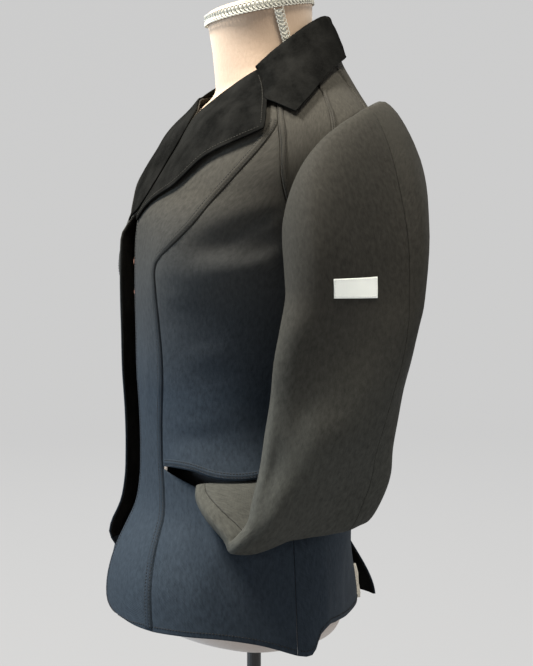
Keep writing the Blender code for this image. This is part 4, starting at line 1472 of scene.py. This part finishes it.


# Painted light and shade by height, in metres: the torso cloth is lighter and warmer at the top and darker
# and bluer low down; the sleeve cloth is lighter low down and darker above
TORSO_PAINTED_LIGHT = (0.50, 0.70, (0.66, 0.88, 1.18), (1.14, 1.08, 0.95))
SLEEVE_PAINTED_LIGHT = (0.45, 0.60, (1.38, 1.40, 1.28), (0.84, 0.81, 0.72))
GREYS = ((0.013, 0.013, 0.013), (0.023, 0.023, 0.023), (0.048, 0.048, 0.047))
UPPER = wool("twill_upper_painted_light", *GREYS, painted_light=TORSO_PAINTED_LIGHT)
LOWER = wool("twill_lower_painted_light", *GREYS, painted_light=TORSO_PAINTED_LIGHT)
SLEEVE_CLOTH = wool("twill_sleeve_painted_light", *GREYS, painted_light=SLEEVE_PAINTED_LIGHT)
THREAD = wool("thread_grey", (0.004, 0.004, 0.004), (0.009, 0.009, 0.010), (0.05, 0.05, 0.05), 0.0, 0.6)
NAP = nap("napped_black", (0.0030, 0.0031, 0.0030), (0.0100, 0.0101, 0.0096))
NAP_TONES = ((0.012, 0.0115, 0.010), (0.026, 0.025, 0.022), (0.05, 0.048, 0.043))
NAP_THREAD = wool("thread_black", *NAP_TONES, 0.0, 0.6)
TAPE = plain_cloth("lining_tape", (0.40, 0.37, 0.31), (0.60, 0.57, 0.50), 0.0007, 0.1, 0.5, 0.5)
POCKET = plain_cloth("pocket_black", (0.002, 0.002, 0.003), (0.006, 0.006, 0.008), 0.0006, 0.0)
LABEL = plain_cloth("label_white", (0.76, 0.80, 0.77), (0.91, 0.94, 0.91), 0.0006, 0.1, 0.6, 0.3)
LABEL_THREAD = wool("thread_white", (0.42, 0.43, 0.43), (0.6, 0.6, 0.59), (0.8, 0.8, 0.78), 0.0, 0.6)
COVER = knit_cover("form_cover_knit_painted_light", (0.34, 0.245, 0.175), (0.43, 0.325, 0.235))
BRAID = wool("braid_silver", (0.34, 0.34, 0.30), (0.50, 0.49, 0.44), (0.72, 0.71, 0.64), 0.05, 0.45)
STUD = metal("stud_copper", (0.85, 0.45, 0.33), 0.22)
BLACK = paint("stand_black", (0.002, 0.002, 0.002), (0.005, 0.005, 0.006), 0.45)


# The jacket
BAG_START = 10.0
LAPEL_CORNER = (65.5, -18.0, 569.0)
GORGE_REACH = 5.0
GORGE_FROM = 0.8
GORGE_POWER = 0.6
PULL_FROM = 0.72
PULL_POWER = 2.2
CUFF_ROWS = 72
ELBOW_ROW = 40
FAN_GAIN = 1.7
TAPE_IN = 8.0
TAPE_OUT = 7.5
TAPE_MOST = 26.0
SLEEVES = {}

# Creases of the collar that fan out from its fold
COLLAR_CREASES = """
place width depth
-0.30 0.03 -0.9
-0.22 0.03 0.8
-0.12 0.04 -1.0
-0.04 0.03 0.7
0.05 0.04 -0.9
0.14 0.03 0.8
0.22 0.03 -0.8
0.32 0.04 0.6
"""

# Where the camera stands round the form, in degrees from the front
CAMERA_TURN = 73.0


def panel(name, tag, layers, material, held, rests_on, slot):
    """The shell of one cloth node."""
    cloth_shell(name + tag + "_cloth", name + tag, *layers, material, held, [rests_on], slot)


def dress_side(side):
    tag = "left" if side > 0 else "right"
    left, right = front_lines(side)
    neck = curve(NECK_FRONT, N_HEM * FINE, power=EDGE_POWER)
    hem = curve(HEM_FRONT, N_HEM * FINE, power=EDGE_POWER)
    grid = patch_between(hem, neck, left, right, EDGE_POWER)
    panel("front_", tag, torso_layers(grid, side, WALL), UPPER, "hung", "form_torso", "wool_upper")
    if side < 0:
        rows = slice(FACING_FROM * FINE, (FACING_TO - 1) * FINE + 1)
        strip = drawn_in(grid, SEAM)[rows, : (FACING_COLUMNS - 1) * FINE + 1]
        layers = torso_layers(strip, side, FACING_WALL, True)
        panel("front_facing_", tag, layers, NAP, "laid", "front_right", "nap")

    mouth_low = curve(MOUTH_LOWER, N_YOKE * FINE)
    mouth_high = curve(MOUTH_UPPER, N_YOKE * FINE)
    start = princess(17, MOUTH_FRONT - 1, N_SKIRT)
    hem = curve(HEM_SIDE, N_YOKE * FINE)
    low_side = side_seam(hem[-1][1], mouth_low[-1][1], N_SKIRT)
    start[-1] = mouth_low[0]
    grid = patch_between(hem, mouth_low, start, low_side)
    layers = torso_layers(grid, side, WALL)
    panel("lower_front_", tag, layers, LOWER, "hung", "side_front_" + tag, "wool_lower")

    inner = princess(MOUTH_FRONT + 1, 506, N_BODY)
    inner[0] = mouth_high[0]
    high_side = side_seam(mouth_high[-1][1], 366, N_SIDE)
    outer = joined(high_side, curve(ARMHOLE_FRONT, (N_BODY - N_SIDE) * FINE))
    grid = patch_between(mouth_high, yoke_part(False), inner, outer)
    panel("side_front_", tag, torso_layers(grid, side, WALL), UPPER, "hung", "form_torso", "wool_upper")

    yoke = joined(yoke_part(True), yoke_part(False))[::-1]
    shoulder = curve(SHOULDER, (N_NECK + N_YOKE) * FINE, True)
    back = curve(BACK_YOKE, (N_NECK + N_YOKE) * FINE, True)
    yokes = (
        ("front_yoke_", ARMHOLE_FRONT_TOP, NECK_SIDE, yoke, shoulder),
        ("back_yoke_", ARMHOLE_BACK_TOP, NECK_SHOULDER, shoulder, back),
    )
    for name, hole, top, start, end in yokes:
        grid = patch_between(curve(hole, N_SHOULDER * FINE), curve(top, N_SHOULDER * FINE), start, end)
        panel(name, tag, torso_layers(grid, side, WALL), UPPER, "laid", "form_torso", "wool_upper")

    hem = curve(HEM_BACK, N_BACK * FINE)
    rise = (N_SKIRT + N_SIDE + N_BACK_HOLE + N_NECK + N_YOKE) * FINE + 1
    centre = np.stack([np.full(rise, 179.8), np.linspace(3, 594, rise)], 1)
    if side > 0:
        low = centre[:, 1] < VENT_TOP + 4
        centre[low, 0] -= 3.0 * ease((VENT_TOP + 4 - centre[low, 1]) / 60)
        hem[-1] = centre[0]
    up = joined(
        side_seam(hem[0][1], 366, N_SKIRT + N_SIDE),
        curve(ARMHOLE_BACK, N_BACK_HOLE * FINE),
        back,
    )
    top = curve(NECK_BACK, N_BACK * FINE)
    top[-1] = centre[-1]
    grid = patch_between(hem, top, up, centre)
    panel("back_", tag, torso_layers(grid, side, WALL), LOWER, "hung", "form_torso", "wool_lower")
    if side > 0:
        vent_tape()
    else:
        strip = drawn_in(grid, SEAM)[: (VENT_ROWS - 1) * FINE + 1, -(2 * FINE + 1) :]
        layers = torso_layers(strip, side, FACING_WALL, True)
        panel("vent_facing_", tag, layers, NAP, "laid", "back_right", "lining")
    dress_lapel(side, tag)
    dress_bag(side, tag)
    dress_sleeve(side, tag)
    sew_side(tag)


def lifted_line(text, count):
    """A table of angles, heights and lifts as evenly spaced points."""
    rows = table(text)
    return even(np.stack([rows[k] for k in ("angle", "height", "lift")], 1), count)


def dress_lapel(side, tag):
    free = lifted_line(LAPEL_EDGE if side > 0 else LAPEL_EDGE_RIGHT, LAPEL_ROWS * FINE)
    notch = lifted_line(LAPEL_TOP, LAPEL_COLUMNS * FINE)
    roll = table(ROLL if side > 0 else ROLL_RIGHT)
    seat = np.full(len(roll["angle"]), NAP_WALL + LAPEL_SEAT)
    roll = np.stack([roll["angle"], roll["height"], seat], 1)
    roll = even(np.concatenate([roll, notch[:1]]), LAPEL_ROWS * FINE)
    bottom = np.linspace(roll[0], free[0], LAPEL_COLUMNS * FINE + 1)
    grid = patch_between(bottom, notch, roll, free)
    if side < 0:
        high = grid[..., 1]
        across = np.linspace(0, LAPEL_OPEN, LAPEL_COLUMNS * FINE + 1)
        stand = LAPEL_STAND * ease((high - LAPEL_LOW) / 60) * ease((LAPEL_HIGH - high) / 40)
        grid[..., 2] += stand * ease(across)
    outer, inner, out = torso_layers(grid, side, NAP_WALL)
    down = np.linspace(0, 1, len(outer))[:, None]
    across = 1 - np.linspace(0, 1, outer.shape[1])[None, :]
    corner = mirrored(np.array(LAPEL_CORNER), side)
    up = ease((down - PULL_FROM) / (1 - PULL_FROM))
    pull = (corner - outer[-1, 0]) * (up * across**PULL_POWER)[..., None]
    under = across**GORGE_POWER * ease((down - GORGE_FROM) / (1 - GORGE_FROM))
    pull = pull + unit(outer[-1:] - outer[-4:-3]) * (GORGE_REACH * under)[..., None]
    panel("lapel_", tag, (outer + pull, inner + pull, out), NAP, "folded", "front_" + tag, "nap")


def vent_tape():
    """A pale tape sewn inside the left vent edge, which stands a little beyond it."""
    outer, out = SHELLS["back_left_cloth"]
    inner = outer - out * WALL
    rows = slice(0, (VENT_ROWS - 2) * FINE)
    edge, before, way = inner[rows, -1], inner[rows, -4], out[rows, -1]
    ahead = unit(edge - before)
    sight = np.radians(CAMERA_TURN)
    across = outer[rows, :, 0] * np.cos(sight) + outer[rows, :, 1] * np.sin(sight)
    reach = np.clip(across.max(1) - across[:, -1] + TAPE_OUT, TAPE_OUT, TAPE_MOST)
    reach = (reach + 0.6 * np.sin(np.linspace(0, 11, len(edge))))[:, None]
    back = np.array([-0.15, 1.0, 0.0])
    lines = [
        edge - ahead * TAPE_IN - way * 0.4,
        edge - ahead * 2 - way * 0.5,
        edge - way * 0.5 + back * 1.5,
        edge - way * 0.8 + back * reach * 0.55,
        edge - way * 1.0 + back * reach,
    ]
    face = np.array(lines).transpose(1, 0, 2)
    turn = unit(np.cross(np.gradient(face, axis=0), np.gradient(face, axis=1)))
    turn = turn * np.sign((turn * way[:, None]).sum(-1, keepdims=True) + 1e-9)
    cloth_shell("vent_tape_left", None, face, face - turn * 0.5, turn, TAPE, "laid", ["back_left"], "lining")


def dress_bag(side, tag):
    grid = patch_between(
        np.linspace([BAG_START, BAG_LOW], [80, BAG_LOW], 7 * FINE + 1),
        np.linspace([BAG_START, BAG_HIGH], [82, BAG_HIGH], 7 * FINE + 1),
        np.linspace([BAG_START, BAG_LOW], [BAG_START, BAG_HIGH], 8 * FINE + 1),
        np.linspace([80, BAG_LOW], [82, BAG_HIGH], 8 * FINE + 1),
    )
    angle, height = grid[..., 0], grid[..., 1]
    out = facing_out(section_point, angle, height)
    base = section_point(angle, height) + out * rise_at(angle, height, side)[..., None]
    depth = BAG_DEPTH * ease((height - BAG_LOW + 4) / 66) * ease((BAG_HIGH - height) / 20) + BAG_CLEAR
    outer = base - out * depth[..., None]
    layers = [mirrored(layer, side) for layer in (outer, outer - out, out)]
    panel("pocket_bag_", tag, layers, POCKET, "hung", "side_front_" + tag, "pocket_cloth")


def dress_sleeve(side, tag):
    coarse, coarse_in = sleeve_grid(side)
    outer = refine(coarse, FINE, FINE, True)
    inner = refine(coarse_in, FINE, FINE, True)
    out = grid_normal(outer)
    centre = outer[ELBOW_ROW].mean(0)
    turns = np.degrees(np.arctan2(outer[ELBOW_ROW][:, 0] - centre[0], outer[ELBOW_ROW][:, 1] - centre[1]))
    down = np.linspace(0, 1, len(outer))[:, None]
    fine = troughs(SLEEVE_CREASE, turns[None, :] % 360, down, side, SLEEVE_SCALE, 0.3)
    outer = outer + out * fine[..., None]
    inner = inner + out * fine[..., None]
    if (out[ELBOW_ROW, 10 * FINE] * np.array([1, 0, 0])).sum() < 0:
        out = -out
    outer, inner, out = outer[:CUFF_ROWS], inner[:CUFF_ROWS], out[:CUFF_ROWS]
    SLEEVES[side] = (outer, out)
    tangent = unit(np.roll(outer, -1, 1) - np.roll(outer, 1, 1))
    count = outer.shape[1]
    pieces = {"top_sleeve_": (8, 17), "under_sleeve_": (17, count // FINE + 8)}
    for name, (first, last) in pieces.items():
        index = [k % count for k in range(first * FINE, last * FINE + 1)]
        o, i, n = outer[:, index].copy(), inner[:, index].copy(), out[:, index].copy()
        for layer in (o, i):
            layer[:, 0] += tangent[:, index[0]] * SEAM / 2
            layer[:, -1] -= tangent[:, index[-1]] * SEAM / 2
        layers = [mirrored(layer, side) for layer in (o, i, n)]
        panel(name, tag, layers, SLEEVE_CLOTH, "hung", "form_torso", "wool_upper")


def dress_label():
    """The bare woven label, from the sleeve's own points."""
    grid, out = SLEEVES[1]
    rows, ways = [], []
    for v in np.linspace(LABEL_ROW, LABEL_ROW + LABEL_TALL, 13) * FINE:
        line, dirs = [], []
        for u in np.linspace(LABEL_PLACE, LABEL_PLACE + LABEL_WIDE, 21) * FINE:
            j, i = int(v), int(u)
            fv, fu = v - j, u - i
            p = (grid[j, i] * (1 - fu) + grid[j, i + 1] * fu) * (1 - fv)
            p = p + (grid[j + 1, i] * (1 - fu) + grid[j + 1, i + 1] * fu) * fv
            line.append(p + out[j, i] * LABEL_LIFT)
            dirs.append(out[j, i])
        rows.append(line)
        ways.append(dirs)
    outer, out = np.array(rows), np.array(ways)
    cloth_shell("sleeve_label_cloth", "sleeve_label", outer, outer - out * LABEL_WALL, out, LABEL,
                "laid", ["top_sleeve_left"], "label")
    edges = ("left", "right", "top", "bottom")
    lines = [inset("sleeve_label_cloth", edge, 1.3, (0.03, 0.97)) for edge in edges]
    stitches("sleeve_label_stitches", lines, LABEL_THREAD, 0.05, 1.6, 0.2, 2.4)


def dress_collar():
    outer = refine(collar_profiles(), FINE, FINE)
    out = unit(np.cross(np.gradient(outer, axis=1), np.gradient(outer, axis=0)))
    j = np.linspace(0, 1, outer.shape[0])[:, None]
    i = np.linspace(-1, 1, outer.shape[1])[None, :]
    creases = table(COLLAR_CREASES)
    fan = 0.0
    for place_at, width, depth in zip(*creases.values()):
        lean = place_at + 0.10 * (j - 0.75) * np.sign(place_at)
        line = depth * np.exp(-(((i - lean) / width) ** 2))
        fan = fan + line * ease((j - 0.45) / 0.2) * ease((1 - j) / 0.15)
    outer = outer + out * (FAN_GAIN * fan)[..., None]
    cloth_shell("collar_cloth", "collar", outer, outer - out * NAP_WALL, out, NAP, "folded",
                ["lapel_left", "lapel_right"], "nap")
    rim = inset("collar_cloth", "top", 4.5, (0.02, 0.98))
    ends = [inset("collar_cloth", edge, 4.5, (0.66, 0.97)) for edge in ("left", "right")]
    stitches("collar_stitches", [rim, *ends], NAP_THREAD, 0.1)


def sew_side(tag):
    front, lower, side_front, yoke, shoulder, back, lapel = (
        name + tag + "_cloth"
        for name in ("front_", "lower_front_", "side_front_", "front_yoke_", "back_yoke_", "back_", "lapel_")
    )
    rows = []
    up = (N_SKIRT + N_BODY) / (N_SKIRT + N_BODY + N_NECK)
    bands = (
        ("princess_band_", front, "right", 8.6, UPPER, (0.004, up - 0.01)),
        ("yoke_band_", yoke, "left", 8.6, UPPER, (0.03, 0.995)),
        ("shoulder_band_", shoulder, "left", 7.0, UPPER, (0.01, 0.99)),
        ("back_yoke_band_", back, "left", 7.0, LOWER, (0.84, 0.995)),
        ("pocket_band_", side_front, "bottom", 7.4, UPPER, (0.03, 0.97)),
    )
    for name, shell, edge, width, material, span in bands:
        for distance in seam_band(name + tag, shell, edge, width, material, span):
            pts, nrm = inset(shell, edge, distance, span)
            rows.append((pts + nrm * BAND_RISE * 0.42, nrm))
    stitches("seam_stitches_" + tag, rows, THREAD, 0.05)
    edges = [
        inset(front, "left", 4.2, (0.02, 0.70)),
        inset(front, "bottom", 5.0, (0.03, 0.99)),
        inset(lower, "bottom", 5.0, (0.01, 0.99)),
        inset(back, "bottom", 5.0, (0.01, 0.97)),
        inset(back, "right", 5.0, (0.01, 0.16)),
        inset(side_front, "right", 2.2, (0.0, 0.5)),
    ]
    stitches("edge_stitches_" + tag, edges, THREAD, 0.1)
    trim = [inset(lapel, "right", 4.5, (0.02, 0.97)), inset(lapel, "top", 4.5, (0.1, 0.93))]
    stitches("lapel_stitches_" + tag, trim, NAP_THREAD, 0.1)


# The form and its braid
NECK_BRAID_DROP = 4.0
SIDE_BRAID_TOP = 20.8
SIDE_BRAID_SLANT = 0.33
SIDE_BRAID_LOW = 570.0
SIDE_BRAID_HIGH = 641.0
SIDE_BRAID_END = 643.0
BRAID_WIDE = 10.5
BRAID_PITCH = 4.3
LOOP_STEPS = 14
FORM_AROUND = 120


def smooth_form():
    rows = table(FORM)
    heights = rows["height"]
    fine = np.unique(np.concatenate([np.linspace(a, b, 5) for a, b in zip(heights[:-1], heights[1:])]))
    return np.array([
        form_ring({k: float(smooth(heights, rows[k], z)) for k in rows}, FORM_AROUND) for z in fine
    ])


def lofted(name, node, rings, material):
    rows, count = rings.shape[:2]
    around = np.linspace(0, 1, count, endpoint=False)[None, :] * 800
    uv = np.stack(np.broadcast_arrays(around, rings[..., 2]), -1)
    faces = tube_faces(np.arange(rows * count).reshape(rows, count))
    place(new_object(name, rings.reshape(-1, 3), faces, uv.reshape(-1, 2), material), node)


def braid_path(points, normals, name):
    """A gimp braid: two rows of little coiled loops side by side on a narrow tape."""
    size = run(points)
    steps = int(size[-1] / BRAID_PITCH)
    t = np.linspace(0, steps, steps * LOOP_STEPS + 1)
    at = t / steps * size[-1]
    base, away = at_runs(at, size, points), unit(at_runs(at, size, normals))
    ahead = unit(np.gradient(base, axis=0))
    side = unit(np.cross(away, ahead))
    meshes, faces, count = [], [], 0
    turn = 2 * np.pi * t
    strands = []
    for hand in (1, -1):
        line = base + side * (hand * BRAID_WIDE * (0.25 + 0.24 * np.cos(turn)))[:, None]
        line = line + ahead * (np.sin(turn) * BRAID_PITCH * 0.42 + np.cos(turn) * BRAID_PITCH * 0.35)[:, None]
        strands.append((line + away * (1.9 + 0.5 * np.cos(turn + 0.7))[:, None], 0.62, 6, 1.0))
    strands.append((base + away * 0.4, BRAID_WIDE * 0.38, 8, 0.10))
    for line, radius, around, thin in strands:
        go = unit(np.gradient(line, axis=0))
        one = unit(np.cross(go, away))
        two = np.cross(one, go)
        spin = np.arange(around) * 2 * np.pi / around
        ring = [line + one * np.cos(a) * radius + two * np.sin(a) * radius * thin for a in spin]
        ring = np.array(ring).transpose(1, 0, 2).reshape(-1, 3)
        faces += tube_faces(np.arange(len(ring)).reshape(-1, around) + count)
        meshes.append(ring)
        count += len(ring)
    place(new_object(name, np.concatenate(meshes), faces, None, BRAID), None)


def dress_form():
    rings = smooth_form()
    lofted("form_cover_cloth", "form_torso", rings, COVER)
    top = rings[-1]
    centre = top.mean(0)
    levels = [(1.0, 0.3), (1.003, 1.2), (1.0, 3.0), (0.97, 4.8), (0.9, 6.0), (0.75, 7.2), (0.6, 8.0)]
    levels += [(0.4, 8.6), (0.25, CAP_RISE)]
    cap = np.array([centre + (top - centre) * k + np.array([0, 0, up]) for k, up in levels])
    lofted("neck_cap_cloth", "neck_cap", cap, COVER)
    low = top - np.array([0, 0, NECK_BRAID_DROP])
    ring = np.concatenate([low, low[:1]])
    out = unit((ring - ring.mean(0)) * np.array([1, 1, 0]))
    braid_path(ring, out, "neck_braid")
    sight = np.radians(CAMERA_TURN)
    line, ways = [], []
    for r in rings:
        if not SIDE_BRAID_LOW < r[:, 2].mean() < SIDE_BRAID_HIGH:
            continue
        across = r[:, 0] * np.cos(sight) + r[:, 1] * np.sin(sight)
        near = r[:, 0] * np.sin(sight) - r[:, 1] * np.cos(sight)
        target = SIDE_BRAID_TOP + (SIDE_BRAID_END - r[:, 2]) * SIDE_BRAID_SLANT
        ahead = np.where(near > near.mean(), np.abs(across - target), 1e3)
        first = int(np.argmin(ahead))
        line.append(r[first])
        ways.append(unit((r[first] - r.mean(0)) * np.array([1, 1, 0])))
    line, ways = np.array(line), np.array(ways)
    for c in (0, 1):
        line[:, c] = np.polyval(np.polyfit(line[:, 2], line[:, c], 2), line[:, 2])
    for side, tag in ((1, "left"), (-1, "right")):
        braid_path(mirrored(line, side), mirrored(ways, side), "side_braid_" + tag)


for side in (1, -1):
    dress_side(side)
dress_label()
dress_collar()
dress_form()

metals = {"press_stud_1": STUD, "press_stud_2": STUD, "press_stud_3": STUD, "stand_base": BLACK,
          "stand_pole": BLACK}
for node, material in metals.items():
    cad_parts[node].data.materials.clear()
    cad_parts[node].data.materials.append(material)


# Stage, light and camera
FLOOR_RADIUS = 3.2
WALL_RADIUS = 4.4
WALL_TOP = 2.7
STAGE_STEPS = 96
STAGE_GLOW = 0.582


def stage_bowl():
    """A pale floor that curves up into a plain round backdrop."""
    turn = np.linspace(0, 2 * np.pi, STAGE_STEPS, endpoint=False)
    rows = [(0.35, 0.0), (1.5, 0.0), (FLOOR_RADIUS, 0.0)]
    for k in range(1, 17):
        a = k / 16 * np.pi / 2
        reach = WALL_RADIUS - FLOOR_RADIUS
        rows.append((FLOOR_RADIUS + reach * np.sin(a), reach * (1 - np.cos(a))))
    rows.append((WALL_RADIUS, WALL_TOP))
    points, faces = [(0.0, 0.0, 0.0)], []
    for r, z in rows:
        points += [(r * np.cos(a), r * np.sin(a), z) for a in turn]
    for k in range(STAGE_STEPS):
        faces.append((0, 1 + k, 1 + (k + 1) % STAGE_STEPS))
    for j in range(len(rows) - 1):
        for k in range(STAGE_STEPS):
            n = (k + 1) % STAGE_STEPS
            low, high = 1 + j * STAGE_STEPS, 1 + (j + 1) * STAGE_STEPS
            faces.append((low + k, high + k, high + n, low + n))
    mesh = bpy.data.meshes.new("stage_bowl")
    mesh.from_pydata(points, [], faces)
    mesh.polygons.foreach_set("use_smooth", [True] * len(mesh.polygons))
    obj = bpy.data.objects.new("stage_bowl", mesh)
    bpy.context.scene.collection.objects.link(obj)
    mat, _, shader = node_tree("stage_paper")
    shader.inputs["Base Color"].default_value = (0.03, 0.03, 0.03, 1)
    shader.inputs["Roughness"].default_value = 1.0
    shader.inputs["Specular IOR Level"].default_value = 0.0
    shader.inputs["Emission Color"].default_value = (1.0, 1.0, 1.0, 1)
    shader.inputs["Emission Strength"].default_value = STAGE_GLOW
    mesh.materials.append(mat)


def area_light(name, place_at, aim, size, power, colour):
    data = bpy.data.lights.new(name, "AREA")
    data.shape = "DISK"
    data.size = size
    data.energy = power
    data.color = colour
    obj = bpy.data.objects.new(name, data)
    bpy.context.scene.collection.objects.link(obj)
    obj.location = place_at
    obj.rotation_mode = "QUATERNION"
    obj.rotation_quaternion = (Vector(aim) - Vector(place_at)).to_track_quat("-Z", "Y")


stage_bowl()
area_light("key_light", (-0.20, -1.25, 2.60), (0, 0, 0.65), 0.7, 200, (1.0, 0.95, 0.86))
area_light("low_front_light", (-0.45, -2.1, 0.55), (0, 0, 0.45), 0.8, 34, (0.62, 0.82, 1.0))
area_light("top_light", (0.55, 0.25, 2.5), (0, 0, 0.6), 0.7, 62, (1.0, 0.93, 0.80))
area_light("side_light", (2.1, 0.9, 1.3), (0, 0, 0.6), 0.9, 8, (1.0, 0.97, 0.92))
area_light("right_light", (-2.2, 0.3, 1.6), (0, 0, 0.6), 1.2, 18, (0.96, 0.98, 1.0))
area_light("back_light", (-0.6, 2.3, 1.5), (0, 0, 0.6), 1.2, 14, (1.0, 0.98, 0.95))

world = bpy.data.worlds.new("studio")
world.use_nodes = True
world.node_tree.nodes["Background"].inputs["Color"].default_value = (0.92, 0.94, 0.97, 1)
world.node_tree.nodes["Background"].inputs["Strength"].default_value = 0.03
bpy.context.scene.world = world

CAMERA_AWAY = 1.400
CAMERA_HIGH = 0.650
FOCAL_PIXELS = 1302.0
FRAME_WIDE, FRAME_TALL = 533, 666
AXIS_PIXEL = (254.0, 246.0)

lens_data = bpy.data.cameras.new("photo_camera")
lens_data.sensor_fit = "AUTO"
lens_data.sensor_width = 36.0
lens_data.lens = FOCAL_PIXELS / FRAME_TALL * 36.0
lens_data.shift_x = (FRAME_WIDE / 2 - AXIS_PIXEL[0]) / FRAME_TALL
lens_data.shift_y = -(FRAME_TALL / 2 - AXIS_PIXEL[1]) / FRAME_TALL
camera = bpy.data.objects.new("photo_camera", lens_data)
bpy.context.scene.collection.objects.link(camera)
turn = np.radians(CAMERA_TURN)
camera.location = (CAMERA_AWAY * np.sin(turn), -CAMERA_AWAY * np.cos(turn), CAMERA_HIGH)
camera.rotation_mode = "QUATERNION"
camera.rotation_quaternion = Vector((-np.sin(turn), np.cos(turn), 0)).to_track_quat("-Z", "Y")
bpy.context.scene.camera = camera
bpy.context.scene.view_settings.view_transform = "Standard"
